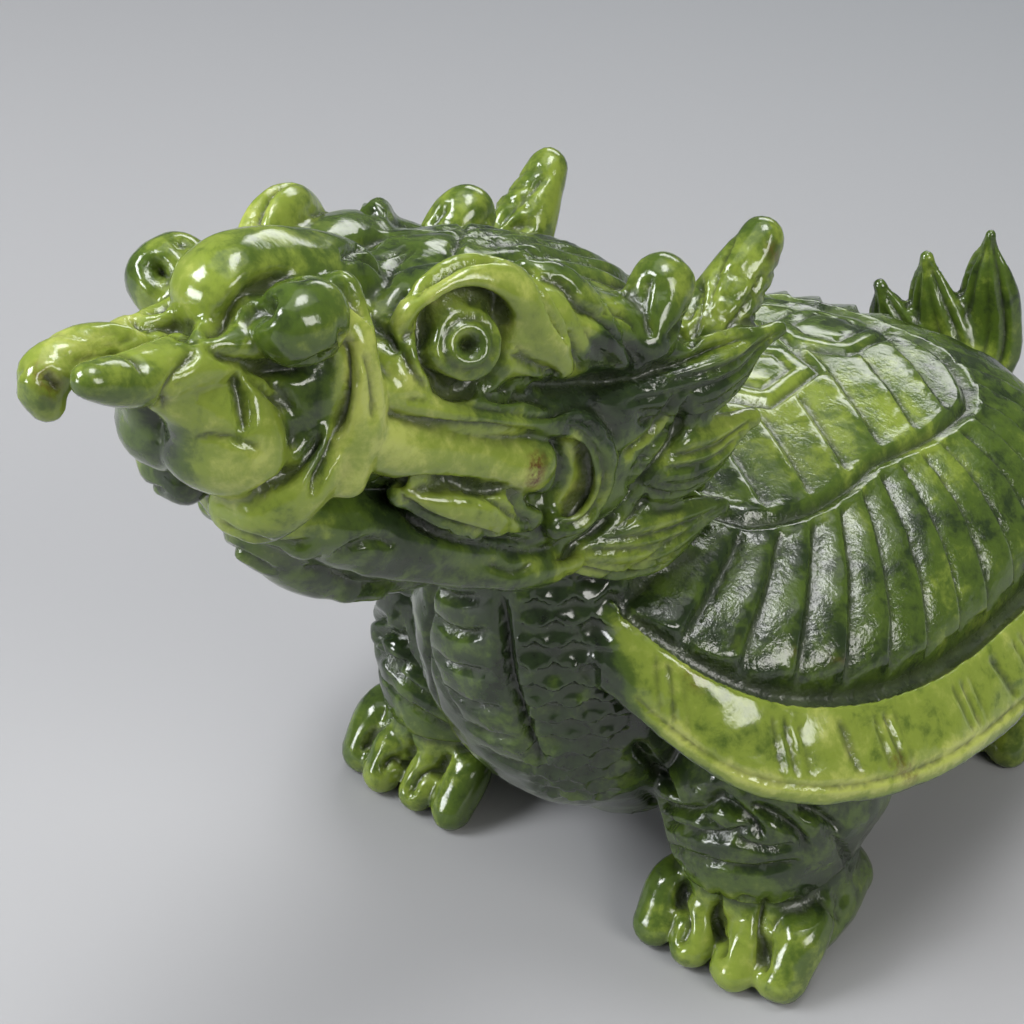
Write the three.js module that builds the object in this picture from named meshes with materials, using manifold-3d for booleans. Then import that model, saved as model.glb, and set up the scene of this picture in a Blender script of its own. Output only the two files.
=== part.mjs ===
// Dragon turtle carved from one block of green jade.
// Millimetres, +Z up. The animal looks along -Y and its left side is +X.
// The origin lies on the ground, under the middle of the bounding box.

import * as THREE from 'three'
import { mergeVertices } from 'three/addons/utils/BufferGeometryUtils.js'
import Module from 'manifold-3d'

const wasm = await Module()
wasm.setup()

// Driving sizes of the whole animal
const carvingLength = 141.32
const shellHalfWidth = 31
const shellHalfLength = 39.5
const shellTop = 47.5
const shellMiddle = 3
const seamLevel = 29.5
const rimWidth = 5.4
const rimFall = 6.4
const rimThickness = 2.4
const footSpread = 22
const footStep = 46.5
const hornReach = 1
const tailRise = 1

// Sizes of the cut work
const eyeRadius = 3
const eyeCentre = [9.4, -54.3, 77.2]
const pupilBore = 0.85
const pupilDepth = 2.2
const nostrilBore = 1.1
const mouthSlit = 0.9
const ribCount = 22
const ribDepth = 0.55

// Everything below is drawn for a carving of this length, then scaled to its own
const drawnLength = 141.32
const unit = carvingLength / drawnLength
const groundSize = 400

const UP = new THREE.Vector3(0, 0, 1)
const OUT = new THREE.Vector3(1, 0, 0)
const FORWARD = new THREE.Vector3(0, -1, 0)
const BOTH_SIDES = [1, -1]

// Latitudes of the rings in the domed end of a limb, from its pole to its full girth
const DOME_ANGLES = [Math.PI / 2, Math.PI / 4, 0]

const jade = new THREE.MeshStandardMaterial({ color: 0x4f6b2a, roughness: 0.16, metalness: 0 })

// Smooth value between the control values of a path, at a share of its length
function between(values, share) {
  const reach = share * (values.length - 1)
  const first = Math.min(Math.floor(reach), values.length - 2)
  const rest = reach - first
  return values[first] + (values[first + 1] - values[first]) * rest
}

// A closed skin made a solid, with its shared corners merged
function solidOf(geometry) {
  geometry.deleteAttribute('normal')
  geometry.deleteAttribute('uv')
  const merged = mergeVertices(geometry, 1e-4)
  return new wasm.Manifold(new wasm.Mesh({
    numProp: 3,
    vertProperties: new Float32Array(merged.attributes.position.array),
    triVerts: new Uint32Array(merged.index.array),
  }))
}

// A rounded limb: a sphere drawn out along a path of [x, y, z, half width, half height].
// The half height is measured along the hint, the half width across it. Both ends are domed
// and reach past the first and the last point by the smaller half size there.
function limb(path, { around = 7, along = 5, hint = UP, side = 1 } = {}) {
  const points = path.map(([x, y, z]) => new THREE.Vector3(x * side, y, z))
  const curve = new THREE.CatmullRomCurve3(points, false, 'centripetal')
  const widths = path.map((station) => station[3])
  const heights = path.map((station) => station[4] ?? station[3])
  const lead = hint.clone()
  lead.x *= side
  const shape = new THREE.SphereGeometry(1, around, along)
  const place = shape.attributes.position
  for (let i = 0; i < place.count; i++) {
    const across = new THREE.Vector2(place.getX(i), place.getZ(i))
    const ring = Math.round(Math.acos(THREE.MathUtils.clamp(place.getY(i), -1, 1)) / Math.PI * along)
    const share = THREE.MathUtils.clamp((ring - 2) / (along - 4), 0, 1)
    const lift = DOME_ANGLES[Math.min(ring, along - ring, 2)]
    across.setLength(lift === Math.PI / 2 ? 0 : Math.cos(lift))
    const width = between(widths, share)
    const height = between(heights, share)
    const tangent = curve.getTangent(share)
    const sideways = lead.clone().cross(tangent).normalize()
    const upwards = tangent.clone().cross(sideways)
    const at = curve.getPoint(share)
    at.addScaledVector(tangent, Math.sin(lift) * Math.min(width, height) * (ring < 2 ? -1 : 1))
    at.addScaledVector(sideways, across.x * width)
    at.addScaledVector(upwards, across.y * height)
    place.setXYZ(i, at.x, at.y, at.z)
  }
  return solidOf(shape)
}

// The same limb on the left and the right of the animal
function pair(path, options) {
  return BOTH_SIDES.map((side) => limb(path, { ...options, side }))
}

// The same ball on the left and the right of the animal
function ballPair([x, y, z], radius) {
  return BOTH_SIDES.map((side) => {
    const ball = new THREE.SphereGeometry(radius, 8, 6)
    return solidOf(ball.translate(x * side, y, z))
  })
}

function moved(path, dx, dy, dz) {
  return path.map(([x, y, z, ...sizes]) => [x + dx, y + dy, z + dz, ...sizes])
}

// Share from 0 on the flanks to 1 at the neck
function towardsNeck(turn) {
  return Math.max(0, -Math.sin(turn))
}

// Height of the seam between dome and rim: it climbs to a point at the neck
function seamHeight(turn) {
  const front = towardsNeck(turn)
  return seamLevel + 8.5 * front ** 1.5 + 9 * front ** 8
}

// How far the rim stands out from the dome: it tucks in beside the neck
function rimReach(turn) {
  return rimWidth * (1 - 0.7 * towardsNeck(turn) ** 8)
}

// Point of an oval that is squarer than an ellipse
function ovalPoint(turn, halfWidth, halfLength) {
  const squareness = 0.755
  const c = Math.cos(turn)
  const s = Math.sin(turn)
  return [
    halfWidth * Math.sign(c) * Math.abs(c) ** squareness,
    halfLength * Math.sign(s) * Math.abs(s) ** squareness,
  ]
}

// Depth of the furrows between the ribs that run down the dome, none near its top
function furrow(turn, angle) {
  const flank = THREE.MathUtils.smoothstep(Math.sin(angle), 0.3, 0.6)
  return ribDepth * flank * (0.5 + 0.5 * Math.cos(ribCount * turn))
}

// Shell: one closed skin over the dome, round the flared rim and below it.
// Each station of the rim gives its reach as a share of the rim, and its fall below the seam.
function shell() {
  const around = 2 * ribCount
  const domeRings = 5
  const rimStations = [[0.22, -0.5], [1, rimFall], [0.8, rimFall + rimThickness], [-1.4, rimFall]]
  const rings = domeRings + rimStations.length + 1
  const shape = new THREE.SphereGeometry(1, around, rings)
  const place = shape.attributes.position
  for (let i = 0; i < place.count; i++) {
    const ring = Math.round(Math.acos(THREE.MathUtils.clamp(place.getY(i), -1, 1)) / Math.PI * rings)
    const turn = Math.atan2(place.getX(i), place.getZ(i))
    if (ring === 0 || ring === rings) {
      place.setXYZ(i, 0, shellMiddle, ring === 0 ? shellTop : seamLevel - rimFall)
      continue
    }
    const angle = Math.PI / 2 * Math.min(ring, domeRings) / domeRings
    const [reach, fall] = ring > domeRings ? rimStations[ring - domeRings - 1] : [0, 0]
    const stretch = rimReach(turn) * reach
    const halfWidth = shellHalfWidth * Math.sin(angle) + stretch
    const halfLength = shellHalfLength * Math.sin(angle) + stretch
    const [x, y] = ovalPoint(turn, halfWidth, halfLength)
    const seam = seamHeight(turn)
    const z = seam + (shellTop - seam) * Math.cos(angle) - fall
    const cut = ring < domeRings ? furrow(turn, angle) : 0
    place.setXYZ(i, x, y + shellMiddle, z - cut)
  }
  return solidOf(shape)
}

// Belly below the shell, and the neck that runs down into the chest
function trunk() {
  const belly = [[0, -16, 21.5, 24, 13], [0, 4, 20.5, 26, 14], [0, 24, 20.5, 26, 14], [0, 34, 21, 22, 12]]
  const neck = [
    [0, -28, 56, 11, 11], [0, -30, 47, 12, 12], [0, -30.5, 37, 12.8, 13],
    [0, -26.5, 25, 14, 12.5], [0, -20, 14, 11, 8],
  ]
  return [
    limb(belly, { around: 9, along: 6 }),
    limb(neck, { around: 10, along: 7, hint: FORWARD }),
  ]
}

// One leg with its foot, drawn for the front and moved back for the hind one
function leg(backwards, side) {
  const shank = [
    [-3, -17, 21, 11, 12.5], [-3, -18, 17, 11.6, 13.2],
    [-2.4, -18.8, 11.5, 9.8, 11.2], [-1.4, -18.4, 6, 7.6, 9.6],
  ]
  const pad = [[0, -12, 3, 6, 4], [0, -18, 4, 7.6, 4.8], [-0.8, -24.5, 3.2, 8, 3.8]]
  const toes = [[-8.3, -29.6, 2.5], [-3.7, -29.8, 2.4], [1.4, -29.7, 2.5], [5.6, -27.9, 2.9]]
  const limbs = [
    [shank, { hint: FORWARD, around: 7, along: 6 }],
    [pad, { around: 7, along: 5 }],
  ]
  for (const [x, y, thick] of toes) {
    const root = x * 0.6
    limbs.push([
      [[root, y + 8, 6.4, thick * 0.9], [x, y + 3.4, 5.8, thick], [x, y, 2.1, thick * 0.95]],
      { around: 6, along: 6 },
    ])
  }
  return limbs.map(([path, options]) => limb(moved(path, footSpread, backwards, 0), { ...options, side }))
}

// Tail of three flames that lean over the back of the shell, to the animal's right
function flameTail() {
  const stalkPath = [[0, 41, 22, 8, 6], [0, 48, 20.5, 7, 5.5], [-1, 51, 26, 6, 3.6]]
  const stalk = limb(stalkPath, { along: 6 })
  const tips = [[-9.2, 47.8, 13.2], [-5, 50, 18], [0.2, 53, 21.6]]
  const flames = tips.map(([x, y, rise]) => limb([
    [x * 0.25, 50, 22, 3.6],
    [x * 0.7 + 0.6, y + 1, 20 + rise * tailRise * 0.6, 3.2, 2.8],
    [x, y, 20 + rise * tailRise, 2.7, 2.5],
  ], { hint: FORWARD, along: 6 }))
  return [stalk, ...flames]
}

// Skull, nose bridge, lower jaw and the mass of the mane
function headMasses() {
  const skull = [
    [0, -24, 60, 9, 8], [0, -33, 65, 12, 9.8], [0, -46, 69.3, 12, 10.8], [0, -56, 72, 9.6, 9],
    [0, -64, 76, 8, 8],
  ]
  const jaw = [
    [0, -66.5, 66, 6.5, 3.4], [0, -57, 60, 9.5, 5], [0, -47, 57, 11.2, 6], [0, -40, 56.5, 11.5, 7],
  ]
  const keel = [[0, -67, 63, 2.6], [0, -61, 57.5, 3.2], [0, -55.5, 54.6, 3.2], [0, -47, 52.5, 4.5]]
  const mane = [[0, -36, 58, 11.5, 9.5], [0, -27, 57, 11.5, 9]]
  const nose = [[0, -67.8, 84, 4.3], [0, -63, 83, 4.2], [0, -57, 80.5, 3.6]]
  const lip = [[0, -69, 77, 5.5], [0, -63, 75.5, 7]]
  return [
    limb(skull, { around: 9, along: 7 }),
    limb(jaw, { around: 9, along: 7 }),
    limb(keel, { along: 6 }),
    limb(mane),
    limb(nose, { along: 6 }),
    limb(lip, { around: 8 }),
  ]
}

// Nose wings and the lobes of the curled upper lip. The two long ones differ.
function lipLobes() {
  const leftHorn = [
    [2.5, -70, 81.4, 2.6], [2.2, -75, 81.3, 2.4], [2.2, -79.5, 82, 2.1], [2.4, -83, 84, 1.7],
  ]
  const rightHorn = [
    [-2.5, -70, 82, 2.4], [-3, -75, 82.8, 2.2], [-3, -80, 84, 2.1], [-2.8, -82.8, 83.3, 1.9],
    [-2.4, -83, 81.5, 1.5],
  ]
  const hanging = [[3, -70, 80.5, 2], [3.4, -71.4, 77, 4, 3], [3.6, -71.8, 74, 4.3, 3.2]]
  const folded = [
    [7.2, -65.2, 73.4, 2.1], [6.8, -67.6, 70.4, 2.3], [5, -70, 68.6, 2.3], [3.2, -70.8, 68.4, 2],
  ]
  return [
    ...ballPair([6.7, -67.2, 83.6], 3.3),
    limb(leftHorn, { along: 6 }),
    limb(rightHorn, { along: 8 }),
    ...pair(hanging, { hint: new THREE.Vector3(0.45, -0.9, 0), along: 6 }),
    ...pair(folded, { around: 6, along: 6 }),
  ]
}

// Cheek: the muzzle band, the bar over the mouth with its curl, the lip leaf and the jaw band
function cheeks() {
  const muzzle = [
    [5.4, -62.2, 83.6, 1.6], [7.4, -63.2, 80.5, 1.9], [8.1, -63.8, 74.5, 2.2], [8.3, -65.4, 70.4, 1.8],
  ]
  const bar = [
    [8, -63, 72.6, 2.6, 2.2], [9.6, -57.4, 69.6, 2.6, 2.2], [11.2, -51, 66.2, 2.4, 2.1],
    [12.2, -48.2, 64.7, 2.3, 2],
  ]
  const ridge = [
    [8.4, -61.4, 76.4, 1.1], [10, -57.6, 74, 1.6], [11.7, -51.4, 70.8, 1.5], [12.9, -45.6, 67.8, 0.7],
  ]
  const curl = [
    [12.2, -47.8, 68.4, 1], [12.9, -44, 67.2, 1.4], [13.4, -41, 62.5, 1.6], [12.9, -42.4, 57.9, 1.5],
    [12.1, -45, 57.6, 1.2],
  ]
  const lipLeaf = [[8.2, -59.6, 66, 1.3], [9.9, -54.4, 62.6, 2.3, 1.7], [11.5, -48.4, 58.4, 0.9]]
  const jawBand = [
    [6.2, -61.4, 60.4, 1.5], [7.8, -54.6, 56.8, 1.8], [10.4, -46.4, 53, 1.8], [11.4, -41.6, 51.8, 1.1],
  ]
  const chin = [[2, -59.6, 54.8, 1.5], [1.3, -55.8, 52.8, 1.7]]
  const plate = [[10.4, -44, 63.5, 6, 1.9], [11.6, -36, 62, 8.2, 2.3], [12, -31, 61, 6, 2]]
  const paths = [muzzle, bar, ridge, curl, lipLeaf, jawBand, chin, plate]
  return paths.flatMap((path) => {
    const along = Math.max(5, 2 + path.length)
    return pair(path, { hint: OUT, around: 6, along })
  })
}

// Eyeball, brow arch and the leaves that follow the brow
function brows() {
  const arch = [
    [8.2, -58.7, 79.6, 1.1], [8.9, -56.4, 81.2, 1.4], [9.7, -53.1, 81.7, 1.7], [11.2, -49.9, 80, 1.9],
    [12.2, -47.2, 76, 1.7], [12.8, -45.8, 73, 0.9],
  ]
  const firstLeaf = [
    [6, -46, 78.6, 1.4], [9.6, -42.4, 77.4, 2.2, 1.8], [12.2, -39.4, 72.6, 1.9, 1.6],
    [12.9, -37.6, 69.8, 0.8],
  ]
  const secondLeaf = [[6.5, -36.5, 73.4, 1.4], [10.4, -32.2, 70.3, 2.1, 1.8], [12.7, -29.2, 66, 1]]
  const temple = [[4.5, -58, 77.5, 3], [5.5, -53, 77.8, 4], [8, -45.5, 75, 4.6], [9, -34, 69, 4]]
  return [
    ...ballPair(eyeCentre, eyeRadius),
    ...pair(arch, { around: 6, along: 7 }),
    ...pair(firstLeaf, { hint: OUT, around: 6, along: 6 }),
    ...pair(secondLeaf, { hint: OUT, around: 6, along: 6 }),
    ...pair(temple, { around: 6, along: 6 }),
  ]
}

// Knobs, horns and the locks of the mane that sweep back
function crest() {
  const knob = [[11.3, -32.6, 69.4, 2.6], [10.8, -29.3, 72.6, 2.5]]
  const horn = [
    [9.4, -28, 60.5, 2.8], [11, -23.6, 65, 2.8], [11.5, -19.6, 68.6, 2.4],
    [11.7, -19.6 + 3.4 * hornReach, 68.6 + 3.4 * hornReach, 1.3],
  ]
  const locks = [
    [[11.5, -37, 66, 2.2, 1.5], [14.5, -28, 65.4, 3.4, 1.8], [16, -20.6, 66.8, 0.8]],
    [[11.5, -37, 59.5, 2.2, 1.5], [14.3, -29.5, 57.8, 3.4, 1.8], [15.8, -23.2, 58.8, 0.8]],
    [[9.6, -42, 52.8, 2.2, 1.5], [13, -33.6, 51, 3.4, 1.8], [14.8, -26, 51.4, 0.8]],
    [[8, -36, 50, 2.2, 1.4], [11.4, -29, 46.8, 2.6, 1.4], [12.4, -24.6, 45, 0.7]],
  ]
  return [
    ...pair(knob, { hint: OUT, around: 6 }),
    ...pair(horn, { hint: OUT, around: 6, along: 7 }),
    ...locks.flatMap((path) => pair(path, { hint: OUT, around: 6, along: 6 })),
  ]
}

// Hollows drilled or ground into the head: pupils, nostrils and the corners of the mouth
function cutters() {
  const look = new THREE.Vector3(0.76, -0.46, 0.46).normalize()
  const pupils = BOTH_SIDES.map((side) => {
    const aim = new THREE.Vector3(look.x * side, look.y, look.z)
    const bore = new THREE.CylinderGeometry(pupilBore, pupilBore, pupilDepth * 2, 8)
    bore.applyQuaternion(new THREE.Quaternion().setFromUnitVectors(new THREE.Vector3(0, 1, 0), aim))
    const [x, y, z] = eyeCentre
    bore.translate(x * side + aim.x * eyeRadius, y + aim.y * eyeRadius, z + aim.z * eyeRadius)
    return solidOf(bore)
  })
  const nostril = [[4.6, -73, 84.6, nostrilBore], [5.2, -70, 84.2, nostrilBore]]
  const mouth = [
    [9.6, -66, 67.8, mouthSlit], [10.8, -59, 66.4, mouthSlit], [13, -52.5, 62.6, mouthSlit * 0.7],
  ]
  return [...pupils, ...pair(nostril), ...pair(mouth, { hint: OUT })]
}

function joined(solids) {
  return solids.reduce((whole, solid) => whole.add(solid))
}

const legs = BOTH_SIDES.flatMap((side) => [...leg(0, side), ...leg(footStep, side)])
const body = joined([shell(), ...trunk(), ...legs, ...flameTail()])
const head = joined([...headMasses(), ...lipLobes(), ...cheeks(), ...brows(), ...crest()])
const hollows = joined(cutters())
const block = new THREE.BoxGeometry(groundSize, groundSize, groundSize)
const ground = solidOf(block.translate(0, 0, -groundSize / 2))
const carved = body.add(head).subtract(hollows).subtract(ground)

// The finished stone, scaled to its own length and set over the middle of its box
const bySize = carved.decompose().sort((one, other) => other.volume() - one.volume())
const scaled = bySize[0].scale([unit, unit, unit])
const box = scaled.boundingBox()
const finished = scaled.translate([0, -(box.min[1] + box.max[1]) / 2, 0])
const skin = finished.getMesh()
const stone = new THREE.BufferGeometry()
stone.setAttribute('position', new THREE.BufferAttribute(new Float32Array(skin.vertProperties), 3))
stone.setIndex(new THREE.BufferAttribute(new Uint32Array(skin.triVerts), 1))

const carving = new THREE.Mesh(stone, jade)
carving.name = 'dragon_turtle_carving'

const group = new THREE.Group()
group.add(carving)

export default group
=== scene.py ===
import logging
import math
from dataclasses import dataclass, field
from enum import Enum

import bmesh
import bpy
import numpy as np
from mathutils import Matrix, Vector
from mathutils.bvhtree import BVHTree


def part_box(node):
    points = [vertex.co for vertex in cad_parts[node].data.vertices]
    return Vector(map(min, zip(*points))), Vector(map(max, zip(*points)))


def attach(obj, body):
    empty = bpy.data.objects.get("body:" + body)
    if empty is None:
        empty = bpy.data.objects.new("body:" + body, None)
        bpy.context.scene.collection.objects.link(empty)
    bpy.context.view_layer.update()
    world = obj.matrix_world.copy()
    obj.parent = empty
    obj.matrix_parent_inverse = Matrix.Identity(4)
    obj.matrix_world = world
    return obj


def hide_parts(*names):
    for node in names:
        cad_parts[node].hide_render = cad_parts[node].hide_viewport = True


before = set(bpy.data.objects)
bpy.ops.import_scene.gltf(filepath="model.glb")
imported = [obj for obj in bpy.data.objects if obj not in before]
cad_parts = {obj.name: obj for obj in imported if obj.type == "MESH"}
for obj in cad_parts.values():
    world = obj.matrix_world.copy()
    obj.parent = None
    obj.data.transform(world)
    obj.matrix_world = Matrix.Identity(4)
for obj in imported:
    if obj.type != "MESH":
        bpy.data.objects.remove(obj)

log = logging.getLogger("dragon_turtle")

NODE = "dragon_turtle_carving"
MM = 0.001

# Places are drawn in millimetres, then moved back by this much to the middle of the carving's box
CENTRING = 13.948

# A full turn, for the random phases of the waves
FULL_TURN = 6.283

# Middle line of the neck, and the way from the front legs back to the hind legs
NECK_MIDDLE = -29.0
HIND_LEGS = 46.5

Station = tuple[float, ...]
Path = list[Station]
Section = tuple[np.ndarray, np.ndarray, np.ndarray, np.ndarray, float, float]


class Side(Enum):
    """The animal's own left and right, as the sign of X."""

    LEFT = 1
    RIGHT = -1


class Hint(Enum):
    """The direction in which a limb's half height is measured."""

    UP = (0.0, 0.0, 1.0)
    OUT = (1.0, 0.0, 0.0)
    FORWARD = (0.0, -1.0, 0.0)
    BACK = (0.0, 1.0, 0.0)
    LIP = (0.45, -0.9, 0.0)


BOTH = (Side.LEFT, Side.RIGHT)


def drawn(*rows: object) -> Path:
    """Returns a dataclass field that starts as a list of these rows."""
    return field(default_factory=lambda: list(rows))


def smoothstep(low: float, high: float, value: np.ndarray) -> np.ndarray:
    """Smooth ramp from 0 at low to 1 at high.

    Args:
        low: Value where the ramp leaves 0.
        high: Value where the ramp reaches 1.
        value: Values to ramp.

    Returns:
        The ramped values.
    """
    share = np.clip((value - low) / (high - low), 0.0, 1.0)
    return share * share * (3.0 - 2.0 * share)


def along_curve(points: np.ndarray, share: float) -> np.ndarray:
    """Point of a centripetal Catmull-Rom curve.

    Args:
        points: Control points, one a row, any number of columns after x, y, z.
        share: Place on the curve, 0 at its first point and 1 at its last.

    Returns:
        The interpolated row.
    """
    count = len(points)
    reach = min(max(share, 0.0), 1.0) * (count - 1)
    first = min(int(reach), count - 2)
    rest = reach - first
    one, two = points[first], points[first + 1]
    before = points[first - 1] if first > 0 else 2 * one - two
    after = points[first + 2] if first + 2 < count else 2 * two - one
    ends = ((before, one), (one, two), (two, after))
    come, gap, leave = (max(float(np.linalg.norm((b - a)[:3])), 1e-4) ** 0.5 for a, b in ends)
    lead = ((one - before) / come - (two - before) / (come + gap) + (two - one) / gap) * gap
    trail = ((two - one) / gap - (after - one) / (gap + leave) + (after - two) / leave) * gap
    square = -3 * one + 3 * two - 2 * lead - trail
    cube = 2 * one - 2 * two + lead + trail
    return one + lead * rest + square * rest**2 + cube * rest**3


@dataclass
class Limb:
    """A rounded limb drawn out along a path, with domed ends.

    Attributes:
        path: Stations of x, y, z, half width and, where it differs, half height, in millimetres.
        hint: Direction of the half height.
        side: Side of the animal that the path is mirrored to.
        around: Corners round the section.
        rings: Rings from end to end.
        body_share: Share of the sphere that becomes the body; the rest are its domed ends.
    """

    path: Path
    hint: Hint = Hint.UP
    side: Side = Side.LEFT
    around: int = 20
    rings: int = 24
    body_share: float = 0.62

    def stations(self) -> np.ndarray:
        """Stations of the path on its own side.

        Returns:
            Rows of x, y, z, half width and half height.
        """
        rows = np.array([(*row, row[-1]) if len(row) == 4 else row for row in self.path], dtype=float)
        rows[:, 0] *= self.side.value
        return rows

    def section(self, share: float) -> Section:
        """Frame of the section at a share of the length.

        Args:
            share: Place along the limb, 0 at its root and 1 at its tip.

        Returns:
            Centre, tangent, sideways and upwards unit vectors, half width and half height.
        """
        rows = self.stations()
        here = along_curve(rows, share)
        ahead = along_curve(rows, min(share + 0.01, 1.0)) - along_curve(rows, max(share - 0.01, 0.0))
        tangent = ahead[:3] / max(float(np.linalg.norm(ahead[:3])), 1e-9)
        lead = np.array(self.hint.value) * np.array([self.side.value, 1.0, 1.0])
        sideways = np.cross(lead, tangent)
        sideways /= max(float(np.linalg.norm(sideways)), 1e-9)
        upwards = np.cross(tangent, sideways)
        return here[:3], tangent, sideways, upwards, max(here[3], 0.2), max(here[4], 0.2)

    def add_to(self, blank: bmesh.types.BMesh) -> None:
        """Adds the limb to the blank as a sphere drawn out along its path.

        Args:
            blank: Mesh that collects the whole carving.
        """
        made = bmesh.ops.create_uvsphere(
            blank, u_segments=self.around, v_segments=self.rings, radius=1.0)
        rings: dict[int, tuple] = {}
        for vert in made["verts"]:
            height = max(-1.0, min(1.0, vert.co.z))
            ring = round(height * 1e5)
            if ring not in rings:
                turned = math.asin(height) / (math.pi / 2)
                share = min(max((turned + self.body_share) / (2 * self.body_share), 0.0), 1.0)
                lift = max(0.0, (abs(turned) - self.body_share) / (1 - self.body_share)) * math.pi / 2
                centre, tangent, sideways, upwards, wide, high = self.section(share)
                reach = math.sin(lift) * min(wide, high) * (1 if turned > 0 else -1)
                middle = centre + tangent * reach
                rings[ring] = (middle, sideways * wide, upwards * high, math.cos(lift))
            middle, sideways, upwards, girth = rings[ring]
            across = Vector((vert.co.x, vert.co.y))
            if across.length > 1e-5:
                across.normalize()
                across *= girth
            vert.co = Vector((middle + sideways * across.x + upwards * across.y).tolist())


def pair(path: Path, hint: Hint = Hint.UP, **more: float) -> list[Limb]:
    """Returns the same limb on the left and the right of the animal."""
    return [Limb(path, hint, side, **more) for side in BOTH]


def moved(path: Path, by: tuple[float, float, float]) -> Path:
    """Returns the path shifted by a vector."""
    return [(row[0] + by[0], row[1] + by[1], row[2] + by[2], *row[3:]) for row in path]


@dataclass
class Shell:
    """Domed shell with its flared rim, all in millimetres."""

    half_width: float = 31.0
    half_length: float = 39.5
    middle: float = 3.0
    top: float = 47.5
    seam_level: float = 29.5
    rim_width: float = 5.4
    rim_fall: float = 6.4
    rim_thickness: float = 2.4
    squareness: float = 0.755
    shoulder_climb: float = 8.5
    neck_climb: float = 9.0
    dome_share: float = 0.62
    around: int = 160
    rings: int = 72

    def seam(self, front: float | np.ndarray) -> float | np.ndarray:
        """Height of the seam between dome and rim, which climbs to a point at the neck.

        Args:
            front: How far the seam faces forwards there, from 0 at the flank to 1 at the neck.

        Returns:
            The height in millimetres.
        """
        return self.seam_level + self.shoulder_climb * front**1.5 + self.neck_climb * front**8

    def edge(self, share: float) -> tuple[float, float]:
        """Section through rim and underside.

        Args:
            share: Place along the section, 0 at the seam and 1 under the middle of the shell.

        Returns:
            How far it reaches out, as a share of the rim's width, and how far below the seam it lies.
        """
        fall, thick = self.rim_fall, self.rim_thickness
        stations = ((0.0, 0.0), (0.1, 0.5), (0.24, -0.4), (0.7, fall * 0.55), (1.0, fall),
                    (0.98, fall + thick * 0.7), (0.75, fall + thick), (-1.4, fall))
        place = share * (len(stations) - 1)
        first = min(int(place), len(stations) - 2)
        rest = place - first
        here, there = stations[first], stations[first + 1]
        out, down = (one * (1 - rest) + two * rest for one, two in zip(here, there))
        return out, down

    def oval(self, turn: float, wide: float, long: float) -> tuple[float, float]:
        """Point of an oval that is squarer than an ellipse.

        Args:
            turn: Turn from the left flank.
            wide: Half width of the oval.
            long: Half length of the oval.

        Returns:
            Its x and y.
        """
        c, s = math.cos(turn), math.sin(turn)
        return (
            wide * math.copysign(abs(c) ** self.squareness, c),
            long * math.copysign(abs(s) ** self.squareness, s),
        )

    def add_to(self, blank: bmesh.types.BMesh) -> None:
        """Adds the shell to the blank as a sphere laid over dome, rim and underside.

        Args:
            blank: Mesh that collects the whole carving.
        """
        made = bmesh.ops.create_uvsphere(
            blank, u_segments=self.around, v_segments=self.rings, radius=1.0)
        for vert in made["verts"]:
            down = math.acos(max(-1.0, min(1.0, vert.co.z))) / math.pi
            turn = math.atan2(vert.co.y, vert.co.x)
            front = max(0.0, -math.sin(turn))
            seam = self.seam(front)
            if down < 1e-4 or down > 1 - 1e-4:
                pole = self.top if down < 0.5 else self.seam_level - self.rim_fall
                vert.co = Vector((0.0, self.middle, pole))
                continue
            angle = math.pi / 2 * min(down / self.dome_share, 1.0)
            past = (down - self.dome_share) / (1 - self.dome_share)
            reach, fall = self.edge(past) if past > 0 else (0.0, 0.0)
            stretch = self.rim_width * (1 - 0.7 * front**8) * reach
            girth = math.sin(angle)
            wide, long = self.half_width * girth + stretch, self.half_length * girth + stretch
            x, y = self.oval(turn, wide, long)
            z = seam + (self.top - seam) * math.cos(angle) - fall
            vert.co = Vector((x, y + self.middle, z))


@dataclass
class Trunk:
    """Belly below the shell, and the neck that runs down into the chest."""

    belly: Path = drawn(
        (0, -16, 21.5, 24, 13), (0, 4, 20.5, 26, 14), (0, 24, 20.5, 26, 14), (0, 34, 21, 22, 12))
    neck: Path = drawn(
        (0, -28, 56, 11, 11), (0, -30, 47, 12, 12), (0, -30.5, 37, 12.8, 13), (0, -26.5, 25, 14, 12.5),
        (0, -20, 14, 11, 8))

    def limbs(self) -> list[Limb]:
        """Returns the two masses of the body."""
        return [Limb(self.belly, around=40, rings=40),
                Limb(self.neck, Hint.FORWARD, around=40, rings=48)]


@dataclass
class Leg:
    """One leg with its clawed foot, drawn beside the leg's own middle line."""

    spread: float = 22.0
    backwards: float = 0.0
    shank: Path = drawn(
        (-3, -17, 21, 11, 12.5), (-3, -18, 17, 11.6, 13.2), (-2.4, -18.8, 11.5, 9.8, 11.2),
        (-1.4, -18.4, 6, 7.6, 9.6))
    pad: Path = drawn((0, -12, 3, 6, 4), (0, -18, 4, 7.6, 4.8), (-0.8, -24.5, 3.2, 8, 3.8))
    toes: Path = drawn((-8.3, -29.6, 2.5), (-3.7, -29.8, 2.4), (1.4, -29.7, 2.5), (5.6, -27.9, 2.9))

    def limbs(self) -> list[Limb]:
        """Rounded forms of the leg.

        Returns:
            Shank, pad and toes on both sides of the animal.
        """
        paths = [(self.shank, Hint.FORWARD), (self.pad, Hint.UP)]
        for x, y, thick in self.toes:
            toe = [(x * 0.6, y + 8, 6.4, thick * 0.9), (x, y + 3.4, 5.8, thick),
                   (x, y, 2.1, thick * 0.95)]
            paths.append((toe, Hint.UP))
        by = (self.spread, self.backwards, 0.0)
        return [limb for path, hint in paths for limb in pair(moved(path, by), hint)]


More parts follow.
